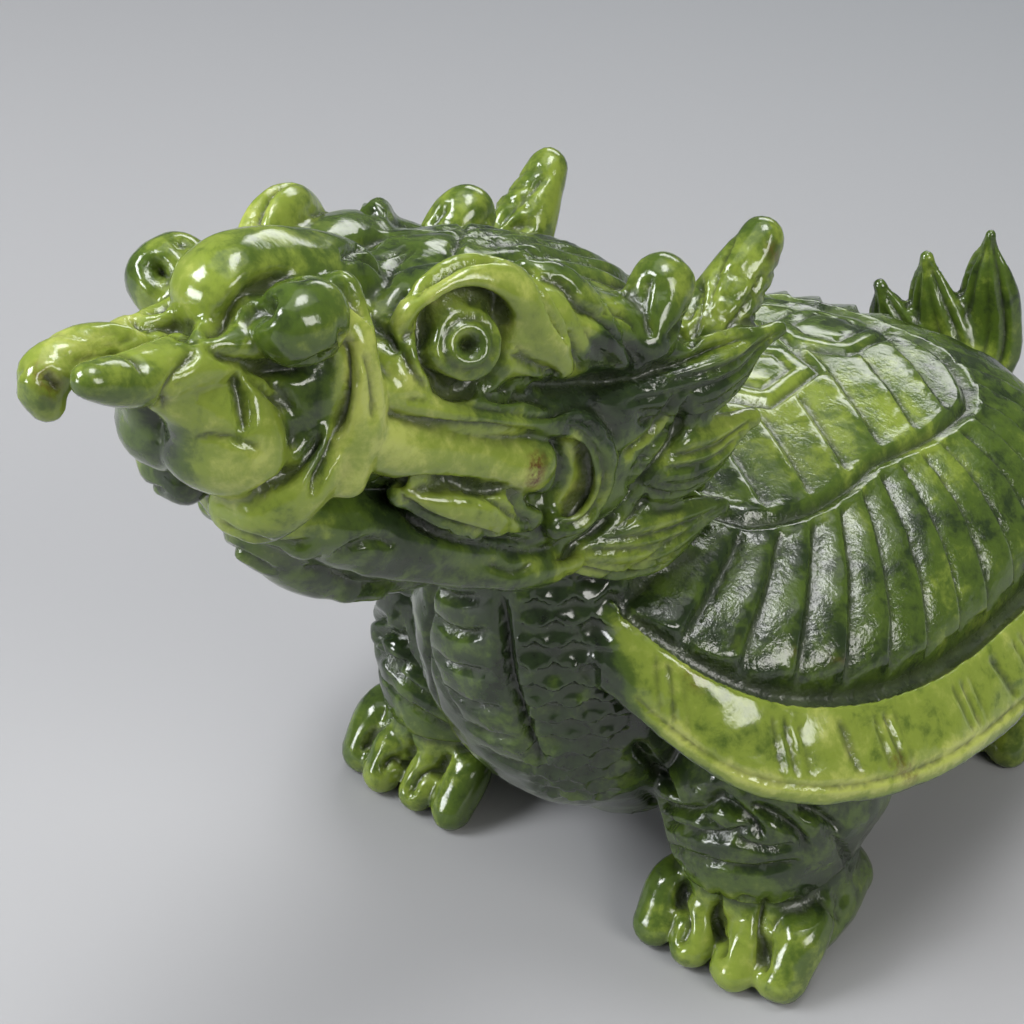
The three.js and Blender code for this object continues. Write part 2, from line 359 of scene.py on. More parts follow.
@dataclass
class Tail:
    """Tail of three flames that lean over the back of the shell."""

    stalk: Path = drawn((0, 41, 22, 8, 6), (0, 48, 20.5, 7, 5.5), (-1, 51, 26, 6, 3.6))
    tips: Path = drawn((-10.4, 48.4, 34.4), (-5.6, 50.4, 38.8), (1.0, 53, 42.8))

    def limbs(self) -> list[Limb]:
        """Rounded forms of the tail.

        Returns:
            The stalk, then its flames.
        """
        flames = []
        for x, y, z in self.tips:
            knee = (x * 0.62 + 0.8, y + 1, 20 + (z - 20) * 0.45, 4.9, 2.9)
            bend = (x * 0.88 + 0.2, y + 0.6, 20 + (z - 20) * 0.8, 3.3, 2.2)
            root, tip = (x * 0.25, 50, 22, 4.6, 3.4), (x, y - 0.4, z + 1.4, 0.9, 0.9)
            flames.append(Limb([root, knee, bend, tip], Hint.FORWARD))
        return [Limb(self.stalk), *flames]


@dataclass
class HeadMass:
    """Skull, nose bridge, lower jaw and the mass of the mane."""

    skull: Path = drawn(
        (0, -24, 60, 9, 8), (0, -33, 65, 12, 9.8), (0, -46, 69.3, 12, 10.8), (0, -56, 72, 9.6, 9),
        (0, -64, 76, 8, 8))
    jaw: Path = drawn(
        (0, -66.5, 66, 6.5, 3.4), (0, -57, 60, 9.5, 5), (0, -47, 57, 11.2, 6), (0, -40, 56.5, 11.5, 7))
    keel: Path = drawn(
        (0, -67, 63, 2.6), (0, -61, 57.5, 3.2), (0, -55.5, 54.6, 3.2), (0, -47, 52.5, 4.5))
    mane: Path = drawn((0, -36, 58, 11.5, 9.5), (0, -27, 57, 11.5, 9))
    nose: Path = drawn((0, -67.8, 84, 4.3), (0, -63, 83, 4.2), (0, -57, 80.5, 3.6))
    lip: Path = drawn((0, -69, 77, 5.5), (0, -63, 75.5, 7))

    def limbs(self) -> list[Limb]:
        """Returns the masses that the finer carving sits on."""
        paths = (self.skull, self.jaw, self.keel, self.mane, self.nose, self.lip)
        return [Limb(path, around=32, rings=36) for path in paths]


@dataclass
class Muzzle:
    """Nose wings and the lobes of the curled upper lip."""

    wing: tuple[float, float, float, float] = (6.7, -67.2, 83.6, 3.3)
    far_wing_drop: float = 0.9
    left_horn: Path = drawn(
        (2.5, -70, 81.6, 2.7, 2.4), (2.2, -75, 81.9, 2.6, 2.2), (2.2, -79.5, 82.6, 2.2, 1.9),
        (2.4, -83, 84.2, 1.4, 1.2))
    right_horn: Path = drawn(
        (-2.5, -70, 81.4, 2.2), (-3, -75, 81.8, 2.0), (-3, -80, 82.8, 1.9), (-2.8, -83, 82.2, 1.9),
        (-2.4, -83, 80.7, 1.4))
    hanging: Path = drawn(
        (2.6, -70.6, 80.5, 2.6, 2.2), (3.0, -71.8, 77, 4.3, 3.3), (3.1, -72.3, 74, 4.7, 3.5))
    web: Path = drawn(
        (2.3, -76.8, 80.6, 1.6, 1.5), (2.6, -74.6, 78.8, 2.7, 2.2), (3, -72.8, 76, 3.6, 2.8))
    folded: Path = drawn(
        (7, -65.8, 73.6, 2.3), (6.5, -68.2, 71.2, 2.9), (4.9, -70.4, 69.3, 2.8), (3, -71.2, 68.8, 2.3))
    tongue: Path = drawn((4.6, -66, 66, 2), (4.4, -66.4, 64, 1.9))

    def limbs(self) -> list[Limb]:
        """Rounded forms of the muzzle.

        Returns:
            Nose wings, then the lobes of the lip.
        """
        x, y, z, radius = self.wing
        wings = [Limb([(x, y - 0.3, level, radius), (x, y + 0.3, level, radius)], side=side)
                 for side, level in ((Side.LEFT, z), (Side.RIGHT, z - self.far_wing_drop))]
        return [
            *wings,
            Limb(self.left_horn),
            Limb(self.right_horn),
            *pair(self.hanging, Hint.LIP),
            *pair(self.web, Hint.LIP),
            *pair(self.folded),
            *pair(self.tongue),
        ]


@dataclass
class Cheek:
    """The muzzle band, the bar over the mouth with its curl, the lip leaf and the jaw band."""

    muzzle: Path = drawn(
        (5.4, -62.2, 83.6, 1.6), (7.4, -63.2, 80.5, 1.9), (8.1, -63.8, 74.5, 2.2),
        (8.3, -65.4, 70.4, 1.8))
    bar: Path = drawn(
        (8, -63, 72.6, 2.6, 2.2), (9.6, -57.4, 69.6, 2.6, 2.2), (11.2, -51, 66.2, 2.4, 2.1),
        (12.2, -48.2, 64.7, 2.3, 2))
    ridge: Path = drawn(
        (8.4, -61.4, 76.4, 1.1), (10, -57.6, 74, 1.6), (11.7, -51.4, 70.8, 1.5),
        (12.9, -45.6, 67.8, 0.7))
    curl: Path = drawn(
        (12.2, -47.8, 68.4, 1), (12.9, -44, 67.2, 1.4), (13.4, -41, 62.5, 1.6),
        (12.9, -42.4, 57.9, 1.5), (12.1, -45, 57.6, 1.2))
    lip_leaf: Path = drawn(
        (8.6, -59.4, 66.4, 1.4, 1.4), (10.7, -54.4, 63.8, 2.8, 2.5), (12.2, -48.8, 60.2, 1.5, 1.4))
    jaw_band: Path = drawn(
        (6.2, -61.4, 60.4, 1.5), (7.8, -54.6, 56.8, 1.8), (10.4, -46.4, 53, 1.8),
        (11.4, -41.6, 51.8, 1.1))
    chin: Path = drawn((2, -59.6, 54.8, 1.5), (1.3, -55.8, 52.8, 1.7))
    plate: Path = drawn((10.4, -44, 63.5, 6, 1.9), (11.6, -36, 62, 8.2, 2.3), (12, -31, 61, 6, 2))

    def limbs(self) -> list[Limb]:
        """Returns the raised forms of the cheek on both sides."""
        paths = (self.muzzle, self.bar, self.ridge, self.curl,
                 self.lip_leaf, self.jaw_band, self.chin, self.plate)
        return [limb for path in paths for limb in pair(path, Hint.OUT)]


@dataclass
class Brow:
    """Eyeball, brow arch and the leaves that follow the brow."""

    eye: tuple[float, float, float, float] = (9.9, -54.05, 77.3, 3.2)
    arch: Path = drawn(
        (8.0, -58.7, 79.6, 1.2), (8.7, -56.6, 81.6, 1.6), (9.6, -53.1, 82.4, 1.9),
        (11.2, -49.9, 80.6, 2.1), (12.4, -47.2, 76.4, 1.9), (13.0, -45.6, 73, 1.0))
    socket: Path = drawn(
        (7.6, -57.2, 77.0, 3.9), (7.9, -54.2, 77.2, 4.6), (9.0, -50.6, 76.4, 4.2),
        (10.2, -47.6, 74.6, 3.4))
    lid: Path = drawn((8.8, -58.4, 75.6, 0.8), (10.6, -54.5, 74.1, 0.9), (12, -50.2, 74.2, 0.8))
    first_leaf: Path = drawn(
        (6, -46, 78.6, 1.4, 1.4), (9.6, -42.4, 77.4, 2.2, 1.8), (12.2, -39.4, 72.6, 1.9, 1.6),
        (12.9, -37.6, 69.8, 0.8, 0.8))
    second_leaf: Path = drawn(
        (6.5, -36.5, 73.4, 1.4, 1.4), (10.4, -32.2, 70.3, 2.1, 1.8), (12.7, -29.2, 66, 1, 1))
    temple: Path = drawn((4.5, -58, 77.5, 3), (5.5, -53, 77.8, 4), (8, -45.5, 75, 4.6), (9, -34, 69, 4))

    def limbs(self) -> list[Limb]:
        """Rounded forms of the brow.

        Returns:
            The raised forms round both eyes.
        """
        x, y, z, radius = self.eye
        ball = [(x, y - 0.2, z, radius), (x, y + 0.2, z, radius)]
        return [
            *pair(ball, around=32, rings=32),
            *pair(self.socket, rings=32),
            *pair(self.arch, rings=36),
            *pair(self.lid),
            *pair(self.first_leaf, Hint.OUT),
            *pair(self.second_leaf, Hint.OUT),
            *pair(self.temple),
        ]


@dataclass
class Crest:
    """Knobs, horns and the locks of the mane that sweep back."""

    knob: Path = drawn((11.3, -32.6, 69.2, 3.0), (10.8, -29.4, 72.9, 2.9))
    horn: Path = drawn(
        (9.4, -28, 60.5, 3.2), (11, -23.6, 65, 3.4), (11.6, -19.4, 69, 3.0), (12, -16, 72.6, 2.0))
    locks: list[Path] = drawn(
        [(11.5, -37, 66, 2.4, 1.6), (14.6, -28, 65, 4.0, 2.0), (16.2, -19.2, 66.4, 1.0, 1.0)],
        [(11.5, -37, 59.5, 2.2, 1.5), (14.4, -29.5, 57.6, 3.9, 2.0), (16, -22.2, 58.8, 1.0, 1.0)],
        [(9.6, -42, 52.8, 2.2, 1.5), (13.1, -33.4, 50.6, 3.8, 2.0), (15, -24.6, 50.4, 1.0, 1.0)],
        [(8, -36, 50, 2.2, 1.4), (11.4, -29, 46.8, 2.6, 1.4), (12.4, -24.6, 45, 0.7, 0.7)])
    nape_places: tuple[tuple[float, float], ...] = ((0.0, 66.5), (6.0, 65.5), (3.2, 59.0), (8.8, 58.5))
    nape_radius: float = 11.2

    def nape(self) -> list[Limb]:
        """Locks that hang down the back of the neck.

        Returns:
            One lock for each place, and its mirror image where it isn't in the middle.
        """
        locks = []
        for x, z in self.nape_places:
            back = -28.0 + math.sqrt(self.nape_radius**2 - x**2)
            path = [(x * 0.85, back - 4.2, z - 0.4, 1.6, 1.1), (x, back + 0.1, z - 3.5, 3.3, 1.7),
                    (x * 1.1, back + 0.9, z - 10.5, 0.8, 0.8)]
            locks += pair(path, Hint.BACK) if x else [Limb(path, Hint.BACK)]
        return locks

    def limbs(self) -> list[Limb]:
        """Rounded forms of the crest.

        Returns:
            Knobs, horns and locks on both sides.
        """
        return [
            *self.nape(),
            *pair(self.knob, Hint.OUT),
            *pair(self.horn, Hint.OUT),
            *(limb for lock in self.locks for limb in pair(lock, Hint.OUT)),
        ]


def object_of(blank: bmesh.types.BMesh, name: str) -> bpy.types.Object:
    """Makes an object of a bmesh and frees the bmesh.

    Args:
        blank: The finished bmesh.
        name: Name of the object and its mesh.

    Returns:
        The new object, linked to the scene.
    """
    mesh = bpy.data.meshes.new(name)
    blank.to_mesh(mesh)
    blank.free()
    made = bpy.data.objects.new(name, mesh)
    bpy.context.scene.collection.objects.link(made)
    return made


def settle(thing: bpy.types.Object) -> None:
    """Replaces the mesh of an object by what its modifiers make of it.

    Args:
        thing: The object.
    """
    graph = bpy.context.evaluated_depsgraph_get()
    mesh = bpy.data.meshes.new_from_object(thing.evaluated_get(graph))
    old = thing.data
    thing.modifiers.clear()
    thing.data = mesh
    bpy.data.meshes.remove(old)


@dataclass(frozen=True)
class PhotoView:
    """The camera of the photograph, in the drawn frame and in millimetres.

    Attributes:
        place: Where the camera stands.
        yaw: Turn away from straight ahead of the animal, in radians.
        pitch: How far it looks down, in radians.
        focal: Focal length in pixels of the square picture.
        width: Side of the square picture in pixels.
        sensor: Width of the sensor in millimetres.
    """

    place: tuple[float, float, float] = (100.83, -158.98, 152.66)
    yaw: float = 0.6861
    pitch: float = 0.5766
    focal: float = 2100.0
    width: float = 1024.0
    sensor: float = 36.0

    def axes(self) -> tuple[Vector, Vector, Vector]:
        """Axes of the camera.

        Returns:
            The unit vectors ahead, to the right and up.
        """
        ahead = Vector((
            -math.sin(self.yaw) * math.cos(self.pitch),
            math.cos(self.yaw) * math.cos(self.pitch),
            -math.sin(self.pitch),
        ))
        right = Vector((math.cos(self.yaw), math.sin(self.yaw), 0.0))
        return ahead, right, right.cross(ahead)

    def ray(self, x: float, y: float) -> Vector:
        """Direction through a pixel of the photograph.

        Args:
            x: Pixels from the left edge.
            y: Pixels from the top edge.

        Returns:
            The unit direction.
        """
        ahead, right, up = self.axes()
        middle = self.width / 2
        across, down = (x - middle) / self.focal, (y - middle) / self.focal
        return (ahead + right * across - up * down).normalized()


@dataclass(frozen=True)
class Stroke:
    """One pass of the carver's wheel, drawn over the photograph.

    Attributes:
        name: What it cuts.
        points: Pixels that it passes through.
        width: Half width of the groove in millimetres.
        depth: Depth of the groove in millimetres.
        both: True if the far side of the animal has the same groove.
        taper: Share of its length over which each end runs out.
    """

    name: str
    points: tuple[tuple[float, float], ...]
    width: float = 0.6
    depth: float = 0.55
    both: bool = True
    taper: float = 0.18

    def samples(self, step: float = 2.5) -> tuple[np.ndarray, np.ndarray]:
        """Samples the stroke along a smooth curve.

        Args:
            step: Distance between samples in pixels.

        Returns:
            Pixels, one a row, and the share of full depth at each.
        """
        rows = np.array([(x, y, 0.0) for x, y in self.points], dtype=float)
        length = float(np.linalg.norm(np.diff(rows, axis=0), axis=1).sum())
        shares = np.linspace(0.0, 1.0, max(4, int(length / step)))
        pixels = np.array([along_curve(rows, share)[:2] for share in shares])
        ends = np.minimum(shares, 1.0 - shares) / max(self.taper, 1e-3)
        return pixels, 0.15 + 0.85 * smoothstep(0.0, 1.0, ends)


NOSE_STROKES = (
    Stroke("under the nose", ((129, 321), (159, 324), (184, 334), (202, 342)), 0.6, 0.6),
    Stroke("below the near wing", (
        (200, 340), (233, 361), (260, 369), (287, 371), (312, 366), (332, 352)), 0.6, 0.75),
    Stroke("between ball and wing", (
        (200, 338), (220, 324), (238, 303), (256, 286), (276, 278), (300, 275)), 0.7, 0.9),
    Stroke("nostril", ((249, 318), (257, 311), (268, 304), (276, 299)), 1.0, 1.2, taper=0.4),
    Stroke("lip fan, first", ((197, 348), (182, 366), (170, 388), (158, 420)), 0.5, 0.5),
    Stroke("lip fan, second", ((188, 378), (170, 396), (160, 410)), 0.4, 0.35),
    Stroke("lip fan, deep", ((234, 374), (240, 395), (245, 437)), 0.6, 0.8),
    Stroke("lip fan, back", ((236, 368), (262, 386), (282, 402), (297, 412)), 0.5, 0.5),
    Stroke("lip fan, last", ((262, 372), (284, 394), (296, 416)), 0.4, 0.35),
    Stroke("chin of the lip lobe", ((188, 442), (212, 436), (240, 440), (262, 450)), 0.4, 0.3),
    Stroke("slit of the folded lobe", (
        (250, 500), (270, 486), (290, 473), (308, 452), (325, 424)), 0.6, 0.9),
    Stroke("edge of the muzzle", (
        (341, 322), (347, 350), (346, 384), (340, 417), (330, 452), (318, 480), (310, 505)), 0.6, 0.8),
    Stroke("muzzle, second line", ((362, 350), (371, 370), (374, 396), (373, 425)), 0.45, 0.4),
    Stroke("muzzle, rough edge", ((352, 332), (356, 360), (354, 392)), 0.35, 0.3),
    Stroke("near lobe, upper edge", (
        (63, 366), (92, 356), (132, 358), (147, 382)), 0.45, 0.35, both=False),
    Stroke("near lobe, middle", ((84, 348), (110, 344), (142, 332)), 0.4, 0.3, both=False),
    Stroke("far lobe, inner curl", ((44, 372), (50, 380), (60, 392)), 0.6, 0.7, both=False),
    Stroke("far lobe, top", ((62, 338), (96, 336), (126, 330)), 0.35, 0.25, both=False),
)

BROW_STROKES = (
    Stroke("arch, lower edge", (
        (401, 339), (414, 331), (424, 316), (442, 304), (466, 298), (488, 303), (504, 318), (517, 344),
        (538, 366), (568, 390)), 0.4, 0.55),
    Stroke("arch, upper edge", (
        (383, 324), (406, 291), (437, 271), (472, 258), (513, 260), (537, 280), (555, 312), (575, 350),
        (584, 382)), 0.5, 1.0),
    Stroke("second leaf", (
        (526, 272), (562, 285), (582, 310), (600, 318), (620, 334), (637, 358), (642, 376)), 0.5, 0.6),
    Stroke("third leaf", ((608, 283), (632, 297), (647, 318), (650, 342)), 0.5, 0.5),
    Stroke("third leaf, fold", ((598, 314), (614, 312), (628, 318), (640, 336)), 0.4, 0.4),
    Stroke("knob, front", ((650, 273), (645, 306), (650, 339)), 0.5, 0.5),
    Stroke("knob, back", ((668, 342), (684, 322), (694, 300), (697, 275)), 0.5, 0.6),
    Stroke("knob, cut", ((630, 290), (640, 302), (648, 322)), 0.4, 0.4),
    Stroke("horn, front", ((698, 273), (700, 300), (696, 326), (690, 352)), 0.5, 0.6),
    Stroke("horn, ridge", ((738, 232), (722, 262), (710, 300), (704, 330)), 0.4, 0.4),
    Stroke("horn, back", ((768, 262), (752, 296), (734, 322), (716, 342)), 0.4, 0.4),
    Stroke("under the eye", (
        (396, 337), (406, 364), (424, 386), (466, 402), (515, 411), (546, 407)), 0.42, 0.5),
    Stroke("under the eye, second", ((470, 388), (500, 398), (526, 398), (548, 402)), 0.4, 0.45),
    Stroke("corner of the eye", ((508, 352), (524, 362), (545, 372), (566, 386)), 0.6, 0.6),
    Stroke("front of the eye", ((398, 337), (410, 334), (424, 330)), 0.5, 0.5),
    Stroke("forehead plate", (
        (322, 276), (345, 255), (373, 240), (433, 230), (499, 236), (552, 256), (598, 279)), 0.5, 0.5),
    Stroke("forehead, side", ((327, 273), (345, 292), (366, 312), (386, 338), (399, 356)), 0.6, 0.7),
    Stroke("forehead, leaf", ((409, 299), (424, 286), (446, 272), (470, 258)), 0.4, 0.45),
    Stroke("forehead, step", ((384, 290), (396, 262), (418, 244)), 0.4, 0.4),
    Stroke("forehead, cut", ((338, 262), (356, 256), (372, 262), (384, 276)), 0.4, 0.4),
)

CHEEK_STROKES = (
    Stroke("long deep groove", (
        (505, 382), (545, 387), (582, 387), (632, 380), (665, 370), (698, 357), (731, 340),
        (775, 330)), 0.8, 1.0),
    Stroke("bar, upper edge", (
        (378, 414), (405, 418), (433, 423), (466, 427), (499, 429), (530, 433),
        (545, 438)), 0.45, 0.55, taper=0.5),
    Stroke("bar, second line", ((380, 396), (439, 403), (486, 413), (520, 417), (545, 418)), 0.3, 0.3),
    Stroke("mouth", ((380, 480), (410, 480), (433, 482), (460, 486), (490, 490), (512, 488)), 0.6, 1.1),
    Stroke("end of the bar", (
        (545, 436), (558, 450), (563, 468), (560, 488), (547, 502), (524, 500)), 0.6, 0.8),
    Stroke("curl, outer", (
        (556, 424), (578, 432), (598, 456), (606, 484), (596, 510), (576, 526), (556, 520)), 0.5, 0.6),
    Stroke("curl, inner", ((572, 438), (583, 458), (585, 484), (573, 506), (560, 514)), 0.7, 0.9),
    Stroke("above the curl", ((459, 405), (500, 412), (532, 416), (556, 412), (584, 398)), 0.4, 0.5),
    Stroke("cheek, feather", ((560, 418), (590, 424), (606, 446)), 0.4, 0.45),
    Stroke("cheek plate leaf", ((622, 456), (640, 446), (655, 432), (668, 414), (684, 388)), 0.6, 0.7),
    Stroke("cheek plate leaf, back", ((626, 457), (648, 450), (664, 434), (676, 412)), 0.4, 0.4),
    Stroke("cheek, first feather", ((590, 400), (606, 420), (620, 440)), 0.4, 0.4),
    Stroke("back of the jaw", (
        (549, 562), (575, 548), (598, 531), (632, 498), (661, 462), (681, 424), (698, 388)), 0.7, 0.9),
    Stroke("back of the jaw, second", ((604, 540), (628, 520), (650, 492), (672, 462)), 0.4, 0.45),
    Stroke("lip leaf, upper", (
        (400, 492), (449, 488), (486, 496), (510, 512), (526, 526), (540, 540)), 0.5, 0.6),
    Stroke("lip leaf, lower", (
        (400, 496), (415, 512), (439, 524), (479, 536), (512, 542), (545, 546)), 0.6, 0.8),
    Stroke("leaf end", ((506, 490), (518, 500), (530, 520), (542, 537)), 0.6, 0.8),
    Stroke("jaw, long line", (
        (396, 480), (404, 506), (425, 526), (453, 540), (499, 550), (553, 552)), 0.5, 0.6),
    Stroke("jaw leaf", ((486, 562), (514, 572), (534, 562)), 0.4, 0.4),
    Stroke("lowest mane leaf", ((555, 570), (592, 581), (632, 572), (665, 550), (690, 530)), 0.4, 0.4),
    Stroke("chin, first", ((332, 560), (352, 546), (378, 540), (400, 548)), 0.5, 0.5),
    Stroke("chin, second", ((300, 570), (330, 572), (352, 584)), 0.4, 0.4),
    Stroke("lower lip", ((215, 520), (236, 532), (262, 540), (292, 546), (318, 540)), 0.5, 0.5),
    Stroke("lower lip, front", ((178, 510), (205, 536), (240, 556), (280, 576)), 0.5, 0.5),
)

NECK_BANDS = tuple(Stroke("neck band", points, 0.62, 0.7, both=False, taper=0.4) for points in (
    ((424, 582), (450, 597), (492, 596)),
    ((424, 612), (456, 634), (497, 630)),
    ((430, 648), (454, 669), (501, 671)),
    ((440, 684), (471, 705), (510, 711)),
    ((456, 718), (489, 736), (522, 742)),
))

BODY_STROKES = (
    Stroke("neck, edge of the bands", (
        (500, 588), (504, 634), (511, 680), (525, 730), (546, 776)), 0.7, 1.0),
    Stroke("neck, far edge", (
        (420, 590), (422, 620), (431, 656), (447, 694), (472, 734)), 0.3, 0.3, both=False),
    *NECK_BANDS,
    Stroke("neck band 6", ((480, 748), (510, 764), (538, 768)), 0.5, 0.5, both=False, taper=0.4),
    Stroke("leg scroll, back", ((634, 742), (652, 764), (668, 790), (676, 812)), 0.75, 0.95),
    Stroke("leg scroll, first arc", (
        (640, 790), (662, 806), (690, 812), (716, 800), (724, 786)), 0.75, 0.95),
    Stroke("leg scroll, second arc", ((650, 812), (684, 832), (722, 838), (756, 828)), 0.75, 0.95),
    Stroke("leg scroll, third arc", ((700, 792), (728, 804), (752, 822), (764, 846)), 0.75, 0.9),
    Stroke("leg scroll, fourth arc", ((742, 804), (776, 816), (800, 836), (812, 858)), 0.75, 0.9),
    Stroke("leg scroll, fifth arc", ((796, 806), (826, 818), (846, 838)), 0.75, 0.9),
    Stroke("leg scroll, sixth arc", ((689, 812), (716, 830), (766, 852), (800, 846)), 0.6, 0.8),
    Stroke("leg scroll, lower arc", ((652, 838), (698, 860), (757, 872), (806, 862)), 0.6, 0.7),
    Stroke("leg scroll, outer arc", ((822, 826), (844, 851), (853, 872)), 0.6, 0.7),
    Stroke("between the toes 1", ((686, 880), (682, 905), (684, 930), (676, 948)), 0.7, 0.8),
    Stroke("between the toes 2", ((718, 892), (716, 915), (722, 940), (720, 962)), 0.7, 0.8),
    Stroke("between the toes 3", ((768, 896), (762, 920), (764, 950), (762, 976)), 0.7, 0.8),
    Stroke("knuckle 1", ((730, 906), (744, 900), (758, 904)), 0.5, 0.4),
    Stroke("knuckle 2", ((776, 912), (796, 900), (818, 914)), 0.5, 0.45),
    Stroke("back of the foot", ((800, 888), (826, 902), (842, 924)), 0.6, 0.5),
)


class Skin:
    """The skin of the carving as arrays, in millimetres of the drawn frame."""

    def __init__(self, thing: bpy.types.Object) -> None:
        """Reads the mesh of an object.

        Args:
            thing: The carving as one closed mesh.
        """
        self.thing = thing
        mesh = thing.data
        count = len(mesh.vertices)
        self.co = np.empty(count * 3, np.float32)
        mesh.vertices.foreach_get("co", self.co)
        self.co = self.co.reshape(-1, 3).astype(np.float64)
        self.edges = np.empty(len(mesh.edges) * 2, np.int32)
        mesh.edges.foreach_get("vertices", self.edges)
        self.edges = self.edges.reshape(-1, 2)
        self.neighbours = np.bincount(self.edges.ravel(), minlength=count).astype(np.float64)
        self.read_normals()
        self.cut = np.zeros(count)
        self.rise = np.zeros(count)
        self.tooled = np.zeros(count)
        # Painted shade that the eyes add to the hollow shade mask
        self.shade = np.zeros(count)

    def read_normals(self) -> None:
        """Reads the vertex normals of the mesh as it is now."""
        normals = np.empty(len(self.co) * 3, np.float32)
        self.thing.data.vertices.foreach_get("normal", normals)
        self.no = normals.reshape(-1, 3).astype(np.float64)

    def write(self) -> None:
        """Writes the places of the vertices back to the mesh."""
        self.thing.data.vertices.foreach_set("co", self.co.astype(np.float32).ravel())
        self.thing.data.update()
        self.read_normals()

    def relax(self, values: np.ndarray, times: int, pull: float = 0.5) -> np.ndarray:
        """Evens values out between neighbours.

        Args:
            values: One value or one row a vertex.
            times: How often each vertex moves towards its neighbours' mean.
            pull: Share of the way that it moves.

        Returns:
            The evened values.
        """
        rows = values.reshape(len(values), -1).astype(np.float64)
        one, two = self.edges[:, 0], self.edges[:, 1]
        for _ in range(times):
            mean = np.empty_like(rows)
            for k in range(rows.shape[1]):
                ahead, back = rows[two, k], rows[one, k]
                total = np.bincount(one, ahead, len(rows)) + np.bincount(two, back, len(rows))
                mean[:, k] = total / np.maximum(self.neighbours, 1.0)
            rows += (mean - rows) * pull
        return rows.reshape(values.shape)

    def near(self, points: np.ndarray, reach: float) -> tuple[np.ndarray, np.ndarray, np.ndarray]:
        """Finds the vertices round a line of points.

        Args:
            points: Points, one a row.
            reach: Greatest distance in millimetres.

        Returns:
            Indices of the vertices, their distances, and the index of each one's nearest point.
        """
        low, high = points.min(axis=0) - reach, points.max(axis=0) + reach
        inside = np.nonzero(np.all((self.co > low) & (self.co < high), axis=1))[0]
        gaps = np.linalg.norm(self.co[inside][:, None, :] - points[None, :, :], axis=2)
        nearest = gaps.argmin(axis=1) if len(points) else np.zeros(0, int)
        distance = gaps[np.arange(len(inside)), nearest]
        close = distance < reach
        return inside[close], distance[close], nearest[close]

    def groove(self, points: np.ndarray, facing: np.ndarray, width: float, depths: np.ndarray) -> None:
        """Cuts a groove along points on the skin. Where grooves meet, the deeper one counts.

        Args:
            points: Points on the skin, one a row.
            facing: Unit normals of the skin there.
            width: Half width in millimetres.
            depths: Depth at each point in millimetres.
        """
        piece = 20
        for first in range(0, len(points), piece - 1):
            part = slice(first, min(first + piece, len(points)))
            found, distance, nearest = self.near(points[part], width)
            ahead = np.einsum("ij,ij->i", self.no[found], facing[part][nearest]) > 0.1
            found, distance, nearest = found[ahead], distance[ahead], nearest[ahead]
            depth = depths[part][nearest] * (1 - distance / width) ** 1.5
            self.cut[found] = np.maximum(self.cut[found], depth)

    def lower(self, where: np.ndarray, distance: np.ndarray, width: float, depth: float) -> None:
        """Cuts a groove where a distance field crosses zero.

        Args:
            where: Mask of the vertices that it may touch.
            distance: Distance of each vertex from the groove's line in millimetres.
            width: Half width in millimetres.
            depth: Depth in millimetres.
        """
        share = np.clip(1 - np.abs(distance) / width, 0, 1) ** 1.15
        self.cut = np.maximum(self.cut, np.where(where, share * depth, 0.0))

    def carve(self) -> None:
        """Moves every vertex by what was cut and raised, then eases the edges as polishing does."""
        self.tooled = smoothstep(0.1, 0.6, self.cut)
        self.co += self.no * (self.rise - self.cut)[:, None]
        self.co = self.relax(self.co, 1)
        self.write()

    def hollows(self) -> np.ndarray:
        """Measures how deep each vertex lies in a dip of the skin, with the painted shade of the eyes
        added; the colour darkens by it as painted shade.

        Returns:
            Values from 0 to 1.
        """
        wide = self.relax(self.co, 24, 0.7)
        near = self.relax(self.co, 5, 0.7)
        broad = np.einsum("ij,ij->i", wide - self.co, self.no)
        tight = np.einsum("ij,ij->i", near - self.co, self.no)
        found = smoothstep(0.02, 0.34, broad) * 0.6 + smoothstep(0.01, 0.12, tight) * 0.6
        return np.clip(found + self.shade, 0, 1)

    def store(self, name: str, values: np.ndarray) -> None:
        """Stores a value a vertex as an attribute of the mesh."""
        layer = self.thing.data.attributes.new(name, "FLOAT", "POINT")
        layer.data.foreach_set("value", values.astype(np.float32))


